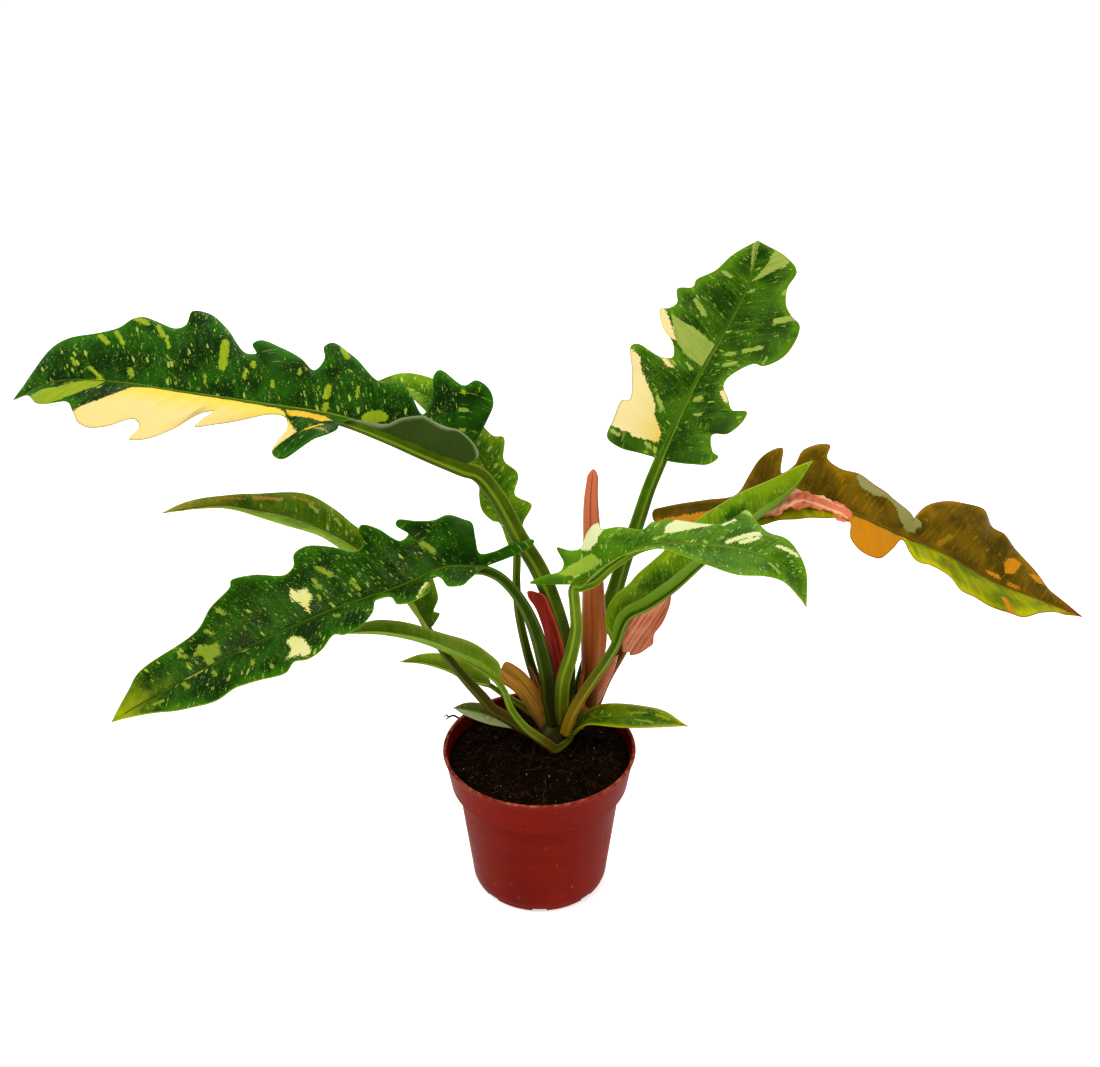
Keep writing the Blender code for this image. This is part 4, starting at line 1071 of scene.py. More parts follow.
leaf_lance = leaf_finish(
    "leaf_lance", tint(46, 92, 4), tint(128, 162, 14), tint(176, 196, 80), CREAM_INKS,
    fleck_fill=0.14, margin=tint(190, 200, 92), margin_width=1.0, under=tint(100, 132, 20),
    rib=tint(120, 150, 30), fine=0.26, gloss=0.36, edge_glow=17.0, tip=tint(140, 162, 12),
    tip_from=0.66)
stalk_warm = stalk_finish("stalk_warm", tint(70, 96, 12), tint(104, 124, 26), tint(150, 166, 66),
                          tint(168, 124, 24), 0.3)
grow("lance", lance, lance_stalk, leaf_lance, stalk_warm, "leaf_bright", towards=(-0.4, -0.8, 0.5))

# %% [markdown]
# ## The bronze leaf
# The youngest open leaf is still coloured like a new one: olive-brown above, orange on one lobe and
# in blotches, yellow-green on its lower half. Some lobes are rolled, so a pale underside shows.

# %% Bronze leaf
bronze = dict(
    route=[(126, 52, 233), (138, 52, 237), (152, 51, 243), (169, 50, 244), (187, 48, 239),
           (204, 46, 232), (222, 44, 224), (250, 40, 212), (277, 36, 197), (308, 33, 185),
           (335, 30, 175)],
    folds=[(0, 40, -15), (0.35, 35, -20), (0.45, 30, -35), (0.52, 25, -5), (1, 15, 0)],
    left=[(-5, 1), (-30, 6), (-50, 9), (-55, 14), (-54, 21), (-46, 21), (-20, 17), (-2, 15),
          (10, 26), (24, 38), (29, 38), (27, 21), (33, 24), (38, 35), (48, 41), (48, 31), (55, 26),
          (66, 27), (77, 24), (92, 21), (105, 17), (108, 8), (103, 4), (106, 15), (113, 30),
          (126, 42), (143, 50), (155, 51), (163, 45), (180, 37), (195, 24), (212, 8)],
    right=[(0, 3), (6, 11), (20, 12), (35, 15), (50, 12), (66, 8), (69, 20), (78, 27), (89, 25),
           (97, 13), (102, 3), (108, 9), (118, 21), (132, 24), (140, 32), (156, 28), (169, 30),
           (186, 24), (207, 10)],
    sectors=dict(
        cream=[[(64, -24), (66, -32), (87, -28), (103, -21), (112, -13), (108, -5), (103, -3),
                (98, -8), (93, -15), (86, -19), (77, -17), (68, -18)]],
        bronze=[[(-57, -9), (-57, -15), (-40, -12), (-20, -9), (-8, -5), (-30, -4)],
                [(66, 3), (78, 1), (92, 1), (100, 0), (104, 4), (90, 30), (73, 32), (64, 17)],
                [(171, -19), (179, -26), (185, -24), (179, -12), (173, -10)],
                [(189, -18), (197, -20), (201, -14), (194, -13)]],
        bronze_dashes=[((170, 18), (174, 28), 2.2), ((161, -5), (169, -5), 1.4),
                       ((176, -3), (183, -3), 1.1)],
        lime_dashes=[((131, 11), (132, 16), 1.5), ((125, -5), (131, -14), 1.6),
                     ((195, 5), (202, 4), 1.2)]),
    vein_gap=12, quilt=0.9, wave=2.8, wave_step=12, arch=1.8, rib=1.2, seed=6, fine_rows=430)
bronze_stalk = ([(34, 32, 104), (42, 38, 124), (51, 40, 142), (63, 43, 168), (80, 47, 195),
                 (99, 50, 214), (114, 52, 226)], 3.0, 3.5, 2.8)
leaf_bronze = leaf_finish(
    "leaf_bronze", tint(84, 68, 2), tint(150, 118, 10), tint(168, 120, 24),
    (tint(146, 142, 78), tint(162, 156, 104), tint(156, 122, 20), tint(214, 142, 2)),
    fleck_fill=0.12, margin=tint(156, 84, 12), margin_width=0.8,
    right=(tint(108, 124, 2), tint(188, 188, 2)), under=tint(138, 134, 78), rib=tint(140, 104, 26),
    fine=0.12, tip=tint(132, 72, 12), tip_from=0.9, gloss=0.4, tear=5.0)
stalk_flushed = stalk_finish("stalk_flushed", tint(84, 76, 6), tint(122, 108, 16), tint(150, 120, 44),
                             tint(110, 62, 20), 0.5, flush=tint(120, 84, 22))
grow("bronze", bronze, bronze_stalk, leaf_bronze, stalk_flushed, "leaf_bronze",
     towards=(0.0, -0.6, 0.7), stalk_slot="stem_bronze")

# %% [markdown]
# ## The slender leaf
# Narrow and gently folded, it lies behind the left leaf. Its far half is a deeper green, the near
# half pale yellow-green, and the tip turns orange.

# %% Slender leaf
slender = dict(
    route=[(-67, 24, 170), (-85, 30, 201), (-110, 36, 220), (-131, 40, 231), (-151, 43, 238),
           (-172, 46, 241), (-190, 48, 243), (-230, 52, 236)],
    folds=[(0, 15, 20), (1, 10, 20)],
    left=[(0, 3), (7, 7), (27, 13), (47, 20), (65, 18), (91, 13), (100, 15), (115, 18), (130, 14),
          (145, 8), (168, 4)],
    right=[(0, 3), (1, 7), (3, 12), (7, 9), (11, 16), (18, 19), (27, 21), (47, 18), (75, 13),
           (92, 18), (113, 20), (138, 13), (156, 8), (180, 6)],
    sectors=dict(bronze_dashes=[((122, 11), (138, 9), 1.3), ((144, 6), (160, 5), 0.8),
                                ((104, 15), (116, 15), 0.7)],
                 lime_dashes=[((100, 10), (106, 13), 1.2), ((84, 8), (88, 11), 1.0)]),
    vein_gap=12, quilt=0.35, wave=0.9, arch=1.0, rib=1.0, seed=7, fine_rows=280)
slender_stalk = ([(-2, 8, 101), (-10, 7, 107), (-18, 8, 113), (-29, 9, 120), (-35, 10, 128),
                  (-45, 12, 140), (-55, 16, 152)], 2.8, 3.4, 2.4)
leaf_slender = leaf_finish(
    "leaf_slender", tint(106, 144, 14), tint(150, 178, 40), tint(196, 206, 110),
    (tint(220, 210, 120), tint(236, 226, 160), tint(176, 184, 80), tint(206, 150, 40)),
    fleck_fill=0.2, margin=tint(184, 184, 70), right=(tint(66, 106, 4), tint(126, 156, 16)),
    under=tint(144, 168, 40), rib=tint(170, 188, 90), fine=0.3, tip=tint(186, 180, 60),
    tip_from=0.64, gloss=0.36, tear=5.0)
stalk_khaki = stalk_finish("stalk_khaki", tint(58, 66, 12), tint(88, 96, 22), tint(120, 128, 50),
                           tint(96, 78, 24), 0.35,
                           flush=tint(92, 76, 24))
grow("slender", slender, slender_stalk, leaf_slender, stalk_khaki, "leaf_bright",
     towards=(0.3, -0.7, 0.6))

# %% [markdown]
# ## The small leaves round the crown
# Five more leaves fill in the plant: a folded arched one, a yellow-green one behind it, two small
# ones that lie over the pot's rim, and a light speckled one at the back.

# %% Small leaves
arched = dict(
    route=[(-25, -4, 152), (-38, -4, 162), (-54, -3, 170), (-73, -1, 177), (-95, 2, 180),
           (-117, 5, 179)],
    folds=[(0, 50, 35), (1, 42, 30)],
    left=[(0, 3), (4, 5), (16, 9), (36, 11), (62, 10), (84, 5)],
    right=[(0, 3), (0, 5), (3, 9), (14, 11), (24, 12), (46, 10), (70, 10), (85, 8)],
    vein_gap=9, quilt=0.25, wave=0.5, arch=0.8, rib=0.9, rib_taper=4.0, seed=8, fine_rows=200)
arched_stalk = ([(9, 4.5, 93), (5, 1.5, 99), (0, -2, 106), (-8, -4, 115), (-17, -4, 129),
                 (-21, -4, 142)], 2.9, 2.5, 2.0)
small_left = dict(
    route=[(-31, 24, 129), (-44, 25, 132), (-57, 26, 139), (-72, 26, 144), (-87, 27, 144)],
    folds=[(0, 10, 25), (1, 5, 20)],
    left=[(0, 2), (4, 4), (18, 5), (36, 4), (50, 2)],
    right=[(0, 2), (3, 5), (14, 10), (30, 10), (46, 6)],
    vein_gap=8, quilt=0.25, wave=0.5, arch=0.6, rib=0.8, seed=9, fine_rows=150)
small_left_stalk = ([(-1, 21, 105), (-12, 22, 114), (-22, 23, 121)], 1.9, 2.1, 1.6)
pale_low = dict(
    route=[(-11, 20, 97.5), (-25, 25, 101), (-39, 28, 104.5), (-55, 30, 107)],
    folds=[(0, 10, 20), (1, 10, 20)],
    left=[(0, 2), (9, 7), (20, 11), (31, 11), (41, 6)],
    right=[(0, 2), (6, 3), (16, 5), (28, 7), (39, 5)],
    vein_gap=8, quilt=0.2, wave=0.5, arch=0.6, rib=0.7, seed=10, fine_rows=150)
pale_low_stalk = ([(-2, 17, 97), (-6, 19, 96)], 1.4, 1.4, 1.0)
low_right = dict(
    route=[(20, 4, 106), (31, 4, 116), (50, 3, 119), (71, 1, 119), (92, -1, 115)],
    folds=[(0, 5, 10), (1, 5, 10)],
    left=[(0, 2), (10, 9), (19, 12), (28, 13), (49, 11), (63, 8), (71, 3)],
    right=[(0, 2), (12, 6), (26, 13), (43, 16), (58, 12), (68, 6)],
    sectors=dict(lime_dashes=[((44, 5), (54, 7), 1.4), ((40, -3), (50, -4), 0.9),
                              ((57, -3), (64, -2), 1.0)]),
    vein_gap=9, quilt=0.3, wave=0.6, arch=1.0, rib=0.8, seed=11, fine_rows=180)
low_right_stalk = ([(8, 4, 92.5), (13, 5, 94.5), (17, 5, 98), (19.5, 4.5, 102)], 2.9, 2.3, 1.5)
back = dict(
    route=[(-13, 38, 213), (-20, 41, 236), (-28, 46, 261), (-41, 53, 284), (-59, 60, 304),
           (-75, 64, 313), (-96, 68, 316)],
    folds=[(0, 10, 10), (0.5, 10, 10), (1, 10, 20)],
    face=[(0.25, -0.7, 0.5), (0.25, -0.5, 0.8), (0, 0, 1)],
    left=[(0, 3), (12, 4), (25, 5), (28, 9), (37, 14), (46, 13), (52, 11), (66, 19), (78, 24),
          (93, 25), (104, 17), (118, 12), (130, 6)],
    right=[(0, 3), (12, 6), (19, 10), (28, 18), (38, 10), (48, 16), (58, 12), (69, 19), (73, 14),
           (90, 12), (108, 13), (124, 11), (136, 8)],
    vein_gap=10, quilt=0.5, wave=1.2, arch=1.0, rib=1.1, seed=12, fine_rows=280)
back_stalk = ([(5, 26, 106), (2, 30, 116), (-3, 33, 128), (-8, 36, 146), (-13, 37, 175),
               (-14, 38, 196)],
              2.4, 2.7, 2.4)

leaf_arched = leaf_finish(
    "leaf_arched", tint(122, 152, 28), tint(166, 188, 64), tint(170, 190, 80), CREAM_INKS,
    fleck_fill=0.12, margin=tint(176, 190, 80), margin_width=0.7, under=tint(112, 144, 30),
    rib=tint(140, 166, 60), fine=0.2, gloss=0.36, right=(tint(128, 158, 34), tint(176, 194, 80)),
    edge_glow=4.0)
leaf_yellowish = leaf_finish(
    "leaf_yellowish", tint(116, 150, 16), tint(168, 188, 50), tint(190, 204, 110), CREAM_INKS,
    fleck_fill=0.1, margin=tint(180, 190, 90), under=tint(130, 150, 70), rib=tint(160, 176, 80),
    fine=0.1, gloss=0.38)
leaf_pale = leaf_finish(
    "leaf_pale", tint(120, 132, 70), tint(176, 184, 128), tint(206, 210, 160), CREAM_INKS,
    fleck_fill=0.2, margin=tint(196, 200, 150), under=tint(150, 158, 100), rib=tint(168, 176, 112),
    fine=0.2, gloss=0.42, right=(tint(70, 88, 24), tint(110, 124, 52)))
leaf_low = leaf_finish(
    "leaf_low", tint(50, 102, 0), tint(138, 160, 4), tint(206, 210, 90), CREAM_INKS, fleck_fill=0.2,
    margin=tint(182, 176, 12), margin_width=2.2, under=tint(110, 140, 50), rib=tint(116, 154, 20),
    fine=0.26, gloss=0.36, edge_glow=7.0, tip=tint(182, 178, 30), tip_from=0.84)
leaf_speckled = leaf_finish(
    "leaf_speckled", tint(62, 112, 6), tint(128, 168, 22), tint(206, 216, 110), CREAM_INKS,
    fleck_fill=0.5, margin=tint(150, 172, 70), under=tint(96, 128, 56), rib=tint(120, 150, 60),
    fine=0.45, gloss=0.4)
stalk_light = stalk_finish("stalk_light", tint(84, 112, 10), tint(124, 148, 30), tint(158, 176, 64),
                           tint(124, 84, 24))

SMALL_LEAVES = (
    ("arched", arched, arched_stalk, leaf_arched, stalk_light, "leaf_bright"),
    ("small_left", small_left, small_left_stalk, leaf_yellowish, stalk_light, "leaf_bright"),
    ("pale_low", pale_low, pale_low_stalk, leaf_pale, stalk_light, "leaf_pale"),
    ("low_right", low_right, low_right_stalk, leaf_low, stalk_bright, "leaf_bright"),
    ("back", back, back_stalk, leaf_speckled, stalk_olive, "leaf_bright"),
)
for name, leaf, stalk, blade_ink, stalk_ink, slot in SMALL_LEAVES:
    grow(name, leaf, stalk, blade_ink, stalk_ink, slot)

# %% [markdown]
# ## Scale leaves
# A philodendron wraps each new leaf in a scale leaf, which colours, dries and hangs on at the
# crown. They are curved sheets, so the blade builder makes them too: fold angles below zero
# turn the edges away from the viewer, and the finish is streaked along the sheet like thin bark.


# %% Scale-leaf finish and pieces
def scale_finish(name, deep, bright, edge, gloss=0.45):
    """Long streaks from `deep` to `bright`, a different ink along the margin, and fine wrinkles."""
    material, r, shader = new_finish(name, specular=0.15)
    flat = r.note("flat")[0]
    rest = r.note("vein")[1][2]
    lines = r.noise(r.stretch(flat, (0.03, 0.55, 1.0)), 1.0, 4.0)
    cloud = r.noise(flat, 0.09, 3.0)
    ground = r.mix(r.span(lines, 0.3, 0.7), deep, bright)
    ground = r.layer(ground, r.span(cloud, 0.45, 0.7), 0.5, bright)
    ground = r.layer(ground, r.span(rest, 1.6, 0.2), 0.8, edge)
    height = r.plus(lines, r.times(r.group(skin, {"Place": r.place(), "Grain": 900.0}), 0.3))
    rough = r.span(lines, 0.3, 0.7, gloss - 0.08, gloss + 0.12)
    paint(shader, ground, rough, r.bump(height, 0.45, 0.0008))
    return material


SCALES = {
    "sheath_red": (dict(
        route=[(14, 13, 128), (12, 13, 143), (8, 15, 167), (4, 16, 184), (0, 17, 200)],
        folds=[(0, -25, -25), (1, -20, -20)], face=[(-0.2, -1, 0.1)],
        left=[(0, 4), (14, 6), (50, 5), (62, 6), (70, 9), (74, 8)],
        right=[(0, 4), (14, 6), (50, 5), (62, 4), (70, 3), (73, 1)],
        gutter=-0.6, wave=0.8, arch=0.6, quilt=0.0, seed=20, fine_rows=120),
        scale_finish("scale_red", tint(96, 16, 8), tint(186, 52, 38), tint(206, 92, 60))),
    "sheath_tan": (dict(
        route=[(3, 13, 101), (0, 12, 110), (-5, 11, 124), (-13, 11, 137), (-24, 11, 148)],
        folds=[(0, -40, -40), (1, -20, -20)], face=[(-0.35, -1, 0.45)],
        left=[(0, 6), (10, 8), (34, 8), (50, 8), (58, 6)],
        right=[(0, 6), (10, 8), (34, 8), (48, 8), (56, 6)],
        gutter=-0.4, wave=0.8, arch=0.6, quilt=0.0, seed=21, fine_rows=120),
        scale_finish("scale_tan", tint(160, 112, 30), tint(212, 158, 68), tint(206, 118, 36))),
    "sheath_pink": (dict(
        route=[(57, 37, 144), (63, 38, 154), (70, 39, 165), (77, 41, 177), (82, 42, 187)],
        folds=[(0, 10, 10), (1, 10, 10)], face=[(0.1, -1, 0.3)],
        left=[(-2, 5), (8, 10), (26, 12), (46, 8)],
        right=[(-2, 1), (2, 5), (9, 8), (13, 9), (19, 6), (28, 6), (40, 4), (48, 1)],
        gutter=0.0, wave=1.6, wave_step=8, arch=0.6, quilt=0.15, seed=22, fine_rows=120),
        scale_finish("scale_pink", tint(186, 92, 60), tint(230, 160, 128), tint(206, 100, 62))),
    "sheath_base": (dict(
        route=[(23, 18, 98), (28, 20, 106), (34, 22, 118), (41, 25, 132), (49, 30, 147)],
        folds=[(0, -30, -30), (1, -20, -20)], face=[(0.4, -1, 0.1)],
        left=[(0, 9), (14, 10), (32, 9), (48, 4)], right=[(0, 8), (10, 9), (26, 7), (48, 4)],
        gutter=-0.4, wave=1.0, wave_step=9, arch=0.8, quilt=0.1, seed=23, fine_rows=120),
        scale_finish("scale_base", tint(156, 70, 38), tint(206, 124, 88), tint(222, 156, 128))),
}
for name, (sheet, ink) in SCALES.items():
    slot = "sheath_pink" if name == "sheath_base" else name
    settle(build_blade(f"{name}_scale", sheet, ink), slot, name)

# %% [markdown]
# ## The rolled leaf
# The next leaf stands in the middle, rolled like an umbrella. Its section is a spiral: the radius
# grows a little with the angle and drops back at the seam, where one margin lies over the
# other. Pink at the top, it passes through orange to brown at the foot, with a darker
# line along the seam.

# %% Rolled leaf
ROLL_ROUTE = [(31, 25, 104), (32, 26, 119), (34, 28, 159), (33, 28, 196), (32, 28, 230),
              (31, 28, 257), (32, 28, 277)]
ROLL_RADII = (4.4, 6.4, 8.6, 7.0, 5.8, 5.0, 3.0)


def rolled(angle, share):
    """A spiral section: it grows by 0.13 in a turn from 0.93 just past the seam at angle 0.5, with
    a lip of 0.05 just before the seam and a faint waver of 0.02."""
    turn = ((angle - 0.5) / (2 * pi)) % 1.0
    seam = np.exp(-((1 - turn) / 0.03) ** 2)
    return 0.93 + 0.13 * turn + 0.05 * seam + 0.02 * np.sin(3 * angle + 9 * share)


rolled_leaf, r, shader = new_finish("rolled_leaf", specular=0.2)
_, (angle, travelled, share) = r.note("girth")
where = r.place()
lines = r.noise(r.stretch(where, (260.0, 260.0, 9.0)), 1.0, 4.0)
cloud = r.noise(where, 45.0, 3.0)
climb = r.plus(share, r.sway(cloud, 0.25))
ground = r.mix(r.span(climb, 0.05, 0.42), tint(92, 54, 8), tint(164, 92, 26))
ground = r.mix(r.span(climb, 0.36, 0.80), ground, tint(206, 118, 80))
ground = r.layer(ground, r.span(lines, 0.38, 0.72), 0.35, tint(222, 146, 108))
seam_line = r.span(r.calc("ABSOLUTE", r.calc("SUBTRACT", angle, 0.5)), 0.14, 0.04)
ground = r.mix(r.times(seam_line, r.span(share, 0.1, 0.3, 0.2, 0.8)), ground, tint(150, 60, 46))
paint(shader, ground, r.span(lines, 0.3, 0.7, 0.32, 0.5), r.bump(lines, 0.3, 0.0006))
line = smooth_route(ROLL_ROUTE, 200)[0]
radius = round_end(spread(ROLL_RADII, 200, 25), 7)
piece = carry_section("new_leaf_spear", line, radius, (0.35, -1, 0), rolled_leaf, rolled)
settle(piece, "rolled_leaf", "new_leaf_roll")

# %% [markdown]
# ## The crown
# All stalks leave from a short leaning stem. Each fallen leaf has left a ring-shaped scar, so the
# radius carries a saw-like ripple.

# %% Crown
CROWN_ROUTE = [(9, 14, 90), (9, 14, 97), (11, 16, 101), (16, 21, 106), (22, 25, 112), (24, 26, 117)]
CROWN_RADII = (10.5, 10.0, 9.4, 9.0, 7.5, 4.0)
SCAR_GAP = 3.4


def scarred(angle, share):
    """Ring scars: a step up every few millimetres, tilted a little round the stem."""
    climb = share * crown_length / SCAR_GAP + 0.3 * np.sin(angle)
    step = climb % 1.0
    return 1 + 0.05 * np.exp(-(step / 0.18) ** 2) - 0.02 * step + 0.02 * np.sin(5 * angle + 3 * share)


line, crown_length = smooth_route(CROWN_ROUTE, 120)
radius = spread(CROWN_RADII, 120, 17)
stalk_grey = stalk_finish("stalk_grey", tint(48, 46, 22), tint(88, 90, 44), tint(120, 118, 70),
                          tint(40, 30, 16), 0.5)
piece = carry_section("ringed_crown", line, radius, (0, -1, 0), stalk_grey, scarred)
settle(piece, "stem_green", "crown")

# %% [markdown]
# ## The nursery pot
# A thin moulded pot: a tapered body, a flared collar with a step below it, and a small rolled
# bead at the rim. A profile of (radius, height) is turned round the axis with many
# segments. The eight drain holes and the eight slots in the foot corner are then cut out,
# since water has to run through real openings.

# %% Pot profile
POT_HEIGHT, RIM_RADIUS = 99.0, 60.0
COLLAR_HEIGHT, COLLAR_FOOT_RADIUS = 24.3, 55.5
BODY_TOP_RADIUS, BASE_RADIUS, WALL = 51.0, 42.2, 1.2
FOOT_RING_INNER, CENTRE_DISC_RADIUS, CHANNEL_RISE = 33.5, 14.0, 2.5
DRAIN_COUNT, DRAIN_HOLE_RADIUS, DRAIN_HOLE_CIRCLE = 8, 3.5, 24.0
SLOT_SIZE, SLOT_MIDDLE, SLOT_INSET = (7.0, 9.0, 5.4), 0.8, 1.0
DRAIN_PIN_SIDES, DRAIN_PIN_LOW, DRAIN_PIN_HIGH = 24, -1.0, 7.0
FOOT_ROUND, BEAD_RADIUS = 4.2, 1.1
COLLAR_FOOT = POT_HEIGHT - COLLAR_HEIGHT
POT_SEGMENTS = 240


def arc(centre, radius, start, end, count=6):
    """Points on an arc in the profile's plane, angles in degrees from the +radius direction."""
    turn = np.radians(np.linspace(start, end, count))
    return [(centre[0] + radius * np.cos(t), centre[1] + radius * np.sin(t)) for t in turn]


def turned(profile, segments):
    """Turn a closed (radius, height) profile round Z. Profile points on the axis become poles."""
    profile = np.asarray(profile, float)
    turn = np.arange(segments) * 2 * pi / segments
    body = profile[1:-1]
    x = body[None, :, 0] * np.cos(turn)[:, None]
    y = body[None, :, 0] * np.sin(turn)[:, None]
    z = np.broadcast_to(body[None, :, 1], x.shape)
    points = np.stack([x, y, z], axis=-1).transpose(1, 0, 2).reshape(-1, 3)
    count = len(points)
    points = np.concatenate([points, [(0, 0, profile[0, 1]), (0, 0, profile[-1, 1])]])
    first = np.arange(segments)
    last = first + (len(body) - 1) * segments
    faces = [grid_quads(len(body), segments, wrap=True), fan(first[::-1], count), fan(last, count + 1)]
    return points, face_out(points, faces)


def side_points(start, end, count):
    """Evenly spaced points on a straight run of the profile, so that the wall shades evenly."""
    shares = np.linspace(0, 1, count)
    return [tuple(np.add(np.multiply(start, 1 - s), np.multiply(end, s))) for s in shares]


body_low = (BASE_RADIUS + 0.7, FOOT_ROUND + 0.6)
body_high = (BODY_TOP_RADIUS, COLLAR_FOOT - 1.2)
collar_low = (COLLAR_FOOT_RADIUS, COLLAR_FOOT + 1.4)
collar_high = (RIM_RADIUS - BEAD_RADIUS, POT_HEIGHT - 2.6)
pot_profile = (
    [(0, 0), (CENTRE_DISC_RADIUS, 0), (CENTRE_DISC_RADIUS + 1.5, CHANNEL_RISE),
     (FOOT_RING_INNER - 1.5, CHANNEL_RISE), (FOOT_RING_INNER, 0)]
    + arc((BASE_RADIUS + 0.2 - FOOT_ROUND, FOOT_ROUND), FOOT_ROUND, -90, 0, 9)
    + side_points(body_low, body_high, 16)
    + arc((BODY_TOP_RADIUS + 0.9, COLLAR_FOOT - 1.0), 0.9, 180, 100, 4)
    + arc((COLLAR_FOOT_RADIUS - 1.3, COLLAR_FOOT + 1.2), 1.3, -80, 0, 5)
    + side_points(collar_low, collar_high, 8)
    + arc((RIM_RADIUS - BEAD_RADIUS, POT_HEIGHT - BEAD_RADIUS), BEAD_RADIUS, -70, 110, 12)
    + [(RIM_RADIUS - 2.3, POT_HEIGHT - 0.9)]
    + side_points((RIM_RADIUS - 2.4, POT_HEIGHT - 2.6),
                  (COLLAR_FOOT_RADIUS - WALL, COLLAR_FOOT + 1.5), 6)
    + side_points((BODY_TOP_RADIUS - WALL, COLLAR_FOOT + 0.2), (BASE_RADIUS - 0.6, FOOT_ROUND + 1.4), 8)
    + arc((BASE_RADIUS + 0.2 - FOOT_ROUND, FOOT_ROUND), FOOT_ROUND - WALL, -10, -90, 6)
    + [(FOOT_RING_INNER + 0.6, WALL),
       (FOOT_RING_INNER - 1.0, CHANNEL_RISE + WALL), (CENTRE_DISC_RADIUS + 1.0, CHANNEL_RISE + WALL),
       (CENTRE_DISC_RADIUS - 0.6, WALL), (0, WALL)])
points, faces = turned(pot_profile, POT_SEGMENTS)
print("pot profile has", len(pot_profile), "points")

# %% [markdown]
# ### Pot plastic
# Recycled brown-red plastic, smooth but not shiny. Flow of the plastic leaves faint cloudy bands,
# handling leaves small pale scuffs, splashed mix leaves dark specks below the rim and at the foot,
# and dried water leaves a slightly lighter bloom. The collar carries painted light: it is tinted a
# little lighter than the body below its step.
# The top of the rim carries pale patches of painted highlight.

# %% Pot finish and piece
terracotta_plastic, r, shader = new_finish("terracotta_plastic", specular=0.07)
where = r.place()
x, y, z = r.split(where)
cloud = r.noise(where, 22.0, 4.0, 0.6)
bands = r.noise(r.stretch(where, (12.0, 12.0, 90.0)), 1.0, 3.0)
ground = r.mix(r.span(cloud, 0.3, 0.7), tint(114, 16, 4), tint(128, 24, 8))
ground = r.layer(ground, r.span(bands, 0.5, 0.75), 0.35, tint(140, 38, 14))
# Painted light: the collar above its step is tinted lighter than the body, where more light falls on
# it.
high = r.span(z, 0.0725, 0.0765)
ground = r.layer(ground, high, 0.25, tint(132, 27, 16))
bloom = r.times(r.span(r.noise(where, 60.0, 5.0, 0.7), 0.52, 0.72), r.span(z, 0.07, 0.0, 0.05, 0.3))
ground = r.mix(bloom, ground, tint(148, 56, 32))
scuff = r.span(r.noise(r.stretch(where, (1.0, 1.0, 0.35)),
                       420.0, 2.0), 0.72, 0.76)
ground = r.layer(ground, scuff, 0.3, tint(190, 120, 90))
low_or_high = r.calc("MAXIMUM", r.span(z, 0.012, 0.002), r.span(z, 0.088, 0.0975))
dirt = r.span(r.plus(r.noise(where, 330.0, 3.0, 0.6), r.times(low_or_high, 0.06)), 0.70, 0.74)
# Painted highlight: pale patches along the top of the rim stand in for light catching its edge.
painted_rim_highlight = r.times(r.span(z, 0.0974, 0.0988), r.span(r.noise(where, 240.0, 3.0), 0.4, 0.66, 0.1, 0.7))
ground = r.mix(painted_rim_highlight, ground, tint(196, 116, 84))
ground = r.layer(ground, dirt, 0.8, tint(38, 22, 14))
fine_grain = r.noise(where, 2600.0, 2.0)
height = r.plus(r.times(fine_grain, 0.4), r.plus(r.times(dirt, 1.5), bands))
rough = r.plus(r.span(cloud, 0.3, 0.7, 0.38, 0.5), r.times(dirt, 0.3))
paint(shader, ground, rough, r.bump(height, 0.18, 0.0005))


def drain_cutters():
    """One mesh of eight round pins for the holes and eight blocks for the corner slots."""
    points, faces, count = [], [], 0
    slot_low, slot_high = SLOT_MIDDLE - SLOT_SIZE[2] / 2, SLOT_MIDDLE + SLOT_SIZE[2] / 2
    pin = np.linspace(0, 2 * pi, DRAIN_PIN_SIDES, endpoint=False)
    block = np.array([(-1, -1), (1, -1), (1, 1), (-1, 1)]) / 2
    for index in range(DRAIN_COUNT):
        turn = -pi / 2 + index * 2 * pi / DRAIN_COUNT
        spin = np.array([(np.cos(turn), np.sin(turn)), (-np.sin(turn), np.cos(turn))])
        slot = (block * SLOT_SIZE[:2] + (BASE_RADIUS + SLOT_INSET - SLOT_SIZE[0] / 2, 0)) @ spin
        half = turn + pi / DRAIN_COUNT
        hole = np.stack([np.cos(pin), np.sin(pin)], axis=1) * DRAIN_HOLE_RADIUS
        hole = hole + DRAIN_HOLE_CIRCLE * np.array([np.cos(half), np.sin(half)])
        for outline, low, high in ((slot, slot_low, slot_high), (hole, DRAIN_PIN_LOW, DRAIN_PIN_HIGH)):
            n = len(outline)
            ring = np.arange(n) + count
            points += [np.column_stack([outline, np.full(n, h)]) for h in (low, high)]
            faces.append(np.stack([ring, np.roll(ring, -1), np.roll(ring, -1) + n, ring + n], axis=1))
            faces += [ring[None, ::-1], ring[None, :] + n]
            count += 2 * n
    return np.concatenate(points), faces


pot = surface("nursery_pot", points, faces, terracotta_plastic)
cutter = surface("drain_cutter", *drain_cutters(), terracotta_plastic, smooth=False)
cut = pot.modifiers.new("drains", "BOOLEAN")
cut.object = cutter
cut.operation = "DIFFERENCE"
cut.solver = "EXACT"
finished = bpy.data.meshes.new_from_object(pot.evaluated_get(bpy.context.evaluated_depsgraph_get()))
pot.modifiers.clear()
pot.data = finished
bpy.data.objects.remove(cutter)
finished.set_sharp_from_angle(angle=radians(35))
settle(pot, "terracotta_plastic", "pot")

# %% [markdown]
# ## The potting mix
# Peat with bark, coir fibres and a little perlite. The lump itself is a turned solid whose top is
# broken up by three sizes of noise. On it lie some two thousand crumbs, a few hundred curly
# fibres, bark chips, fine roots and a few pale grains. Crumbs, chips and grains are all one small
# faceted form, turned, stretched and scattered as one array, so each kind of litter is one mesh.

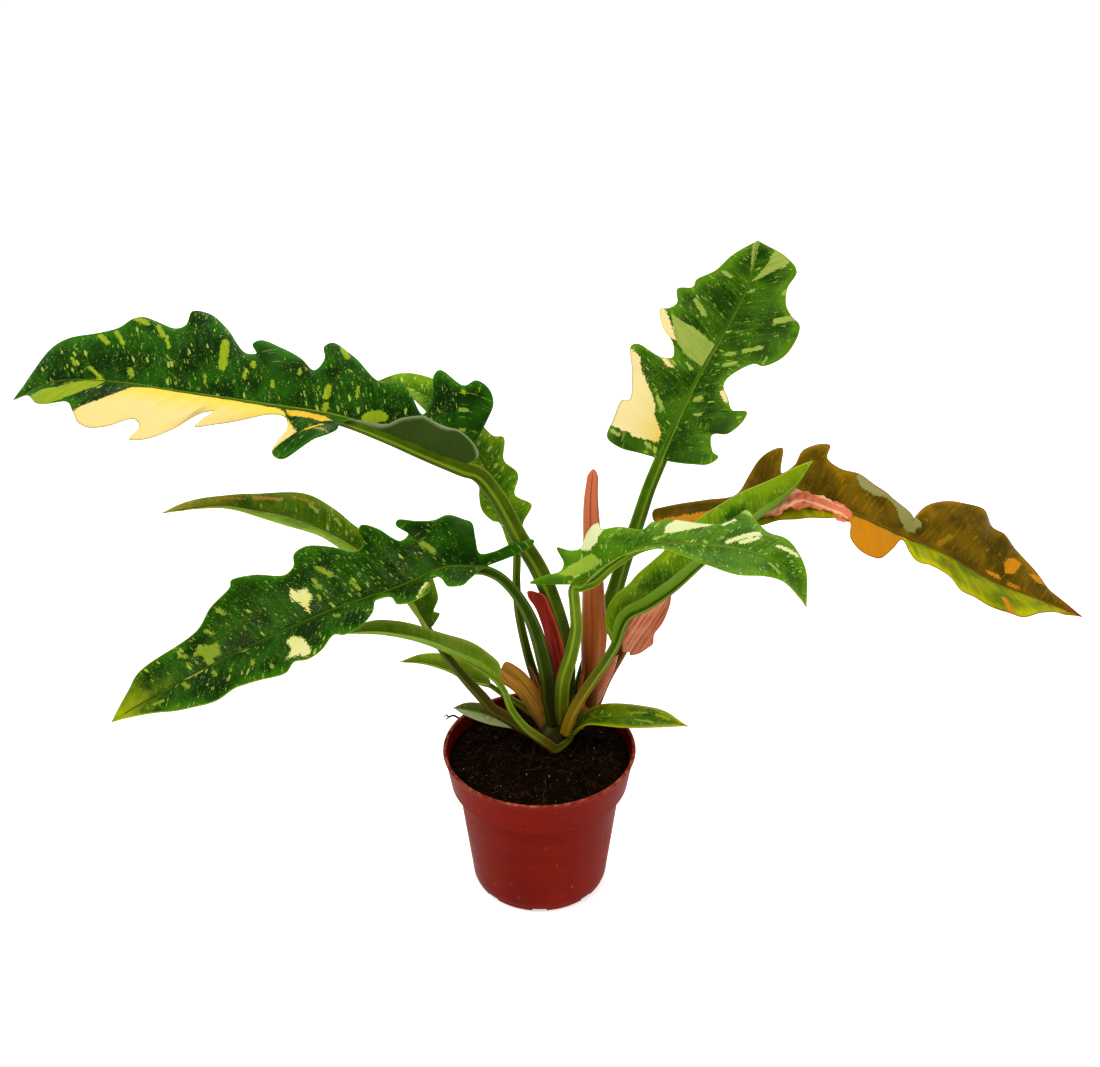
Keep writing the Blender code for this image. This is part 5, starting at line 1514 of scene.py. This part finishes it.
# %% Mix finish
peat_mix, r, shader = new_finish("peat_mix", specular=0.08)
where = r.place()
coarse = r.noise(where, 160.0, 4.0, 0.65)
fine = r.noise(where, 900.0, 3.0, 0.6)
ground = r.mix(r.span(coarse, 0.35, 0.7), tint(7, 4, 2), tint(30, 15, 8))
ground = r.layer(ground, r.span(fine, 0.55, 0.7), 0.6, tint(58, 32, 16))
rough = r.span(fine, 0.3, 0.7, 0.8, 0.98)
paint(shader, ground, rough, r.bump(r.plus(coarse, fine), 0.8, 0.0012))


def mottled_finish(name, dark, pale, roughness):
    """A rough two-ink finish for fibres and grains."""
    material, r, shader = new_finish(name, roughness, specular=0.15)
    where = r.place()
    patches = r.noise(where, 300.0, 3.0, 0.6)
    r.feed(shader.inputs["Base Color"], r.mix(r.span(patches, 0.35, 0.65), dark, pale))
    r.feed(shader.inputs["Normal"], r.bump(r.noise(where, 1500.0, 2.0), 0.5, 0.0004))
    return material


coir = mottled_finish("coir", tint(48, 22, 12), tint(112, 62, 34), 0.75)
bark = mottled_finish("bark", tint(10, 5, 3), tint(44, 24, 12), 0.85)
perlite = mottled_finish("perlite", tint(150, 140, 120), tint(214, 206, 190), 0.9)
print("mix finishes ready")

# %% Mix surface
MIX_EDGE, MIX_CROWN, MIX_GAP = 91.2, 92.6, 0.5


def mix_height(spots):
    """Height of the mix's top at (x, y) spots: a low mound with three sizes of lumps."""
    radius = np.linalg.norm(spots, axis=-1)
    where = np.concatenate([spots, np.zeros(spots.shape[:-1] + (1,))], axis=-1)
    lumps = (1.1 * lattice_noise(where, 9.0, 31) + 0.8 * lattice_noise(where, 3.6, 32)
             + 0.45 * lattice_noise(where, 1.5, 33))
    mound = MIX_EDGE + (MIX_CROWN - MIX_EDGE) * ease(52 - radius, 0, 26)
    return mound + lumps * (0.5 + 0.5 * ease(57 - radius, 0, 4)) - 1.6 * ease(radius, 53, 57)


MIX_RINGS, MIX_SIDES = 120, 300
collar_slope = (RIM_RADIUS - COLLAR_FOOT_RADIUS) / COLLAR_HEIGHT
mix_wall = RIM_RADIUS - BEAD_RADIUS - WALL - MIX_GAP - collar_slope * (POT_HEIGHT - MIX_EDGE)
radius = mix_wall * np.linspace(0, 1, MIX_RINGS + 1)[1:]
turn = np.arange(MIX_SIDES) * 2 * pi / MIX_SIDES
spots = radius[:, None, None] * np.stack([np.cos(turn), np.sin(turn)], axis=-1)
top = np.concatenate([spots, mix_height(spots)[..., None]], axis=-1)
below = [(COLLAR_FOOT_RADIUS - WALL - MIX_GAP, COLLAR_FOOT + WALL + 1.2),
         (BODY_TOP_RADIUS - WALL - MIX_GAP, COLLAR_FOOT),
         (BASE_RADIUS - WALL - MIX_GAP - 0.8, 5.0), (BASE_RADIUS - 3.5, CHANNEL_RISE + WALL + 0.4)]
low = np.array([np.column_stack([r0 * np.cos(turn), r0 * np.sin(turn), np.full(MIX_SIDES, z0)])
                for r0, z0 in below])
rings = np.concatenate([top, low])
count = rings.shape[0] * MIX_SIDES
peak = (0, 0, float(mix_height(np.zeros((1, 2)))[0]))
points = np.concatenate([rings.reshape(-1, 3), [peak, (0, 0, below[-1][1])]])
faces = [grid_quads(len(rings), MIX_SIDES, wrap=True), fan(np.arange(MIX_SIDES)[::-1], count),
         fan(count - MIX_SIDES + np.arange(MIX_SIDES), count + 1)]
piece = surface("potting_mix_lump", points, face_out(points, faces), peat_mix)
settle(piece, "peat_mix", "potting_mix")

# %% Crumbs, bark chips and perlite
GOLDEN = (1 + 5 ** 0.5) / 2
KNOB_POINTS = unit(np.array([(-1, GOLDEN, 0), (1, GOLDEN, 0), (-1, -GOLDEN, 0), (1, -GOLDEN, 0),
                             (0, -1, GOLDEN), (0, 1, GOLDEN), (0, -1, -GOLDEN), (0, 1, -GOLDEN),
                             (GOLDEN, 0, -1), (GOLDEN, 0, 1), (-GOLDEN, 0, -1), (-GOLDEN, 0, 1)]))
KNOB_FACES = np.array([(0, 11, 5), (0, 5, 1), (0, 1, 7), (0, 7, 10), (0, 10, 11), (1, 5, 9),
                       (5, 11, 4), (11, 10, 2), (10, 7, 6), (7, 1, 8), (3, 9, 4), (3, 4, 2),
                       (3, 2, 6), (3, 6, 8), (3, 8, 9), (4, 9, 5), (2, 4, 11), (6, 2, 10),
                       (8, 6, 7), (9, 8, 1)])


def scatter_spots(count, dice, reach=54.0):
    """Random (x, y) spots, even over the disc, each with its height on the mix."""
    radius = reach * np.sqrt(dice.random(count))
    turn = dice.random(count) * 2 * pi
    spots = np.stack([radius * np.cos(turn), radius * np.sin(turn)], axis=-1)
    return np.concatenate([spots, mix_height(spots)[:, None]], axis=-1)


def knobs(name, spots, sizes, dice, material, stretch=(1.0, 0.8, 0.6)):
    """Lumpy grains: a twenty-sided knob whose corners are pushed in and out, squashed by a random
    share and turned about two random axes, for all spots at once."""
    count = len(spots)
    shape = KNOB_POINTS[None] * (1 + 0.35 * (dice.random((count, 12, 1)) - 0.5))
    shape = shape * (np.asarray(stretch) * (0.7 + 0.6 * dice.random((count, 1, 3))))
    spin, tip = dice.random((2, count)) * 2 * pi
    c, s = np.cos(spin)[:, None], np.sin(spin)[:, None]
    x, y, z = np.moveaxis(shape, -1, 0)
    x, y = c * x - s * y, s * x + c * y
    c, s = np.cos(tip * 0.25)[:, None], np.sin(tip * 0.25)[:, None]
    x, z = c * x - s * z, s * x + c * z
    shape = np.stack([x, y, z], axis=-1) * sizes[:, None, None]
    points = (shape + spots[:, None]).reshape(-1, 3)
    faces = (KNOB_FACES[None] + np.arange(count)[:, None, None] * 12).reshape(-1, 3)
    return surface(name, points, [faces], material, smooth=False)


dice = np.random.default_rng(7)
spots = scatter_spots(2300, dice)
sizes = 0.35 + 0.9 * dice.random(len(spots)) ** 2.5
settle(knobs("peat_crumbs", spots, sizes, dice, peat_mix), "peat_mix")
spots = scatter_spots(150, dice, 52)
sizes = 1.0 + 1.5 * dice.random(len(spots)) ** 2
settle(knobs("bark_chips", spots, sizes, dice, bark, stretch=(1.3, 0.8, 0.3)), "peat_mix")
spots = scatter_spots(46, dice, 52) + (0, 0, 0.3)
sizes = 0.25 + 0.4 * dice.random(len(spots)) ** 2
settle(knobs("perlite_grains", spots, sizes, dice, perlite), "peat_mix")


# %% Coir fibres
def threads(name, starts, headings, lengths, widths, curl, dice, material, lift=0.5, sides=5, steps=14):
    """Thin curled threads: the heading turns by a random walk of strength `curl`, the height
    follows the mix with a low random hump, and a small polygon is carried along each line."""
    count = len(starts)
    turns = np.cumsum(dice.normal(0, curl, (count, steps)), axis=1)
    bearing = headings[:, None] + turns
    stride = lengths[:, None] / steps
    x = starts[:, :1] + np.cumsum(np.cos(bearing) * stride, axis=1)
    y = starts[:, 1:2] + np.cumsum(np.sin(bearing) * stride, axis=1)
    reach = np.hypot(x, y)
    squeeze = np.minimum(1, 54.5 / np.maximum(reach, 1e-6))
    flat = np.stack([x * squeeze, y * squeeze], axis=-1)
    hump = np.sin(np.linspace(0, pi, steps))[None] * dice.random((count, 1)) * lift * 3
    z = mix_height(flat) + widths[:, None] * 0.8 + hump
    line = np.concatenate([flat, z[..., None]], axis=-1)
    ahead = unit(np.gradient(line, axis=1) + 1e-9)
    across = unit(np.cross(ahead, (0.0, 0.0, 1.0)) + 1e-9)
    other = np.cross(across, ahead)
    angle = np.arange(sides) * 2 * pi / sides
    width = (widths[:, None] * np.sin(np.linspace(0.35, pi - 0.25, steps))[None])[..., None, None]
    ring = (across[:, :, None] * np.cos(angle)[:, None]
            + other[:, :, None] * np.sin(angle)[:, None]) * width
    points = (line[:, :, None] + ring).reshape(-1, 3)
    one = grid_quads(steps, sides, wrap=True)
    per = steps * sides
    offsets = (np.arange(count) * per)[:, None, None]
    quads = (one[None, :, ::-1] + offsets).reshape(-1, 4)
    caps = np.stack([np.arange(sides), (steps - 1) * sides + np.arange(sides)[::-1]])
    caps = (caps[None] + offsets).reshape(-1, sides)
    return surface(name, points, face_out(points, [quads, caps]), material)


starts = scatter_spots(520, dice, 50)
settle(threads("coir_fibres", starts, dice.random(520) * 2 * pi, 4 + 12 * dice.random(520) ** 2,
               0.07 + 0.10 * dice.random(520), 0.35, dice, coir), "peat_mix")
starts = scatter_spots(26, dice, 44)
settle(threads("fine_roots", starts, dice.random(26) * 2 * pi, 12 + 14 * dice.random(26),
               0.16 + 0.14 * dice.random(26), 0.22, dice, coir, lift=0.8, sides=8, steps=24),
               "peat_mix")

# %% [markdown]
# ## Small things that make it real
# A root thread hangs over the rim on the left, and two dry slivers and a bract stand between the
# stalks.

# %% Root thread and slivers
WIRE_RINGS = 70


def twisted(angle, share):
    """A circle with three low ridges that wind round."""
    return 1 + 0.1 * np.sin(3 * angle + 20 * share)


def wire(name, route, radii, material, slot):
    """A thin tapering tube along a smooth route."""
    line = smooth_route(route, WIRE_RINGS)[0]
    radius = spread(radii, WIRE_RINGS)
    settle(carry_section(name, line, radius, (0.1, 0.2, 1), material, twisted), slot)


wire("rim_root", [(-44, 30, 93), (-51, 31, 97), (-55, 30, 100.4), (-58, 28, 101), (-59.5, 27, 103),
                  (-61, 26, 102)],
     (0.3, 0.6, 0.6, 0.6, 0.5, 0.2), coir, "peat_mix")
wire("rim_root_fork", [(-57, 28.5, 100.8), (-59, 30, 98.5), (-60.5, 31, 96)], (0.5, 0.4, 0.15), coir,
     "peat_mix")
sliver_ink = stalk_finish("sliver_ink", tint(130, 66, 22), tint(190, 116, 60), tint(210, 150, 100),
                          tint(96, 40, 16), 0.4)
wire("dry_sliver", [(3, 22, 112), (0, 22, 122), (-3, 23, 134), (-6, 24, 143)], (0.8, 1.6, 1.3, 0.2),
     sliver_ink, "sheath_tan")
wire("red_sliver", [(24, 20, 116), (25, 19, 128), (27, 18, 142), (28, 18, 150)], (0.7, 1.5, 1.2, 0.2),
     sliver_ink, "sheath_pink")
wire("small_bract", [(17, 9, 104), (19, 7, 109), (20.5, 5, 115)], (1.2, 1.8, 0.3), sliver_ink,
     "sheath_pink")

# %% [markdown]
# ### The crinkled rib
# Along the base of the bronze leaf the midrib has buckled into a fleshy pink ridge with a knob at
# its end. Its radius is a sum of a few sines of angle and distance, so it looks kneaded.

# %% Crinkled rib
CRINKLE_ROUTE = [(128, 49, 233), (137.5, 48.5, 238.5), (146, 48.5, 244), (155.5, 47.5, 247.5),
                 (164.5, 46.5, 246.8), (174.5, 45.5, 243.3), (183, 44.5, 239.8), (189, 43.5, 234.5)]
CRINKLE_RADII = (1.2, 3.6, 6.0, 6.4, 4.4, 4.0, 4.8, 3.4)


def crinkled(angle, share):
    """1 plus three sines of different pitch: two long folds that wind round, and fine puckers."""
    winding = 0.20 * np.sin(3 * angle + 16 * share) + 0.13 * np.sin(2 * angle - 31 * share)
    return 1 + winding + 0.06 * np.sin(7 * angle + 70 * share) + 0.05 * np.sin(95 * share)


pink_flesh = stalk_finish("pink_flesh", tint(214, 116, 80), tint(246, 184, 140), tint(248, 208, 170),
                          tint(180, 100, 54), 0.2,
                          flush=tint(228, 128, 94))
line = smooth_route(CRINKLE_ROUTE, 200)[0]
radius = round_end(spread(CRINKLE_RADII, 200), 12)
piece = carry_section("crinkled_rib", line, radius, (0.1, -0.5, 0.8), pink_flesh, crinkled, squash=0.7)
settle(piece, "sheath_pink")
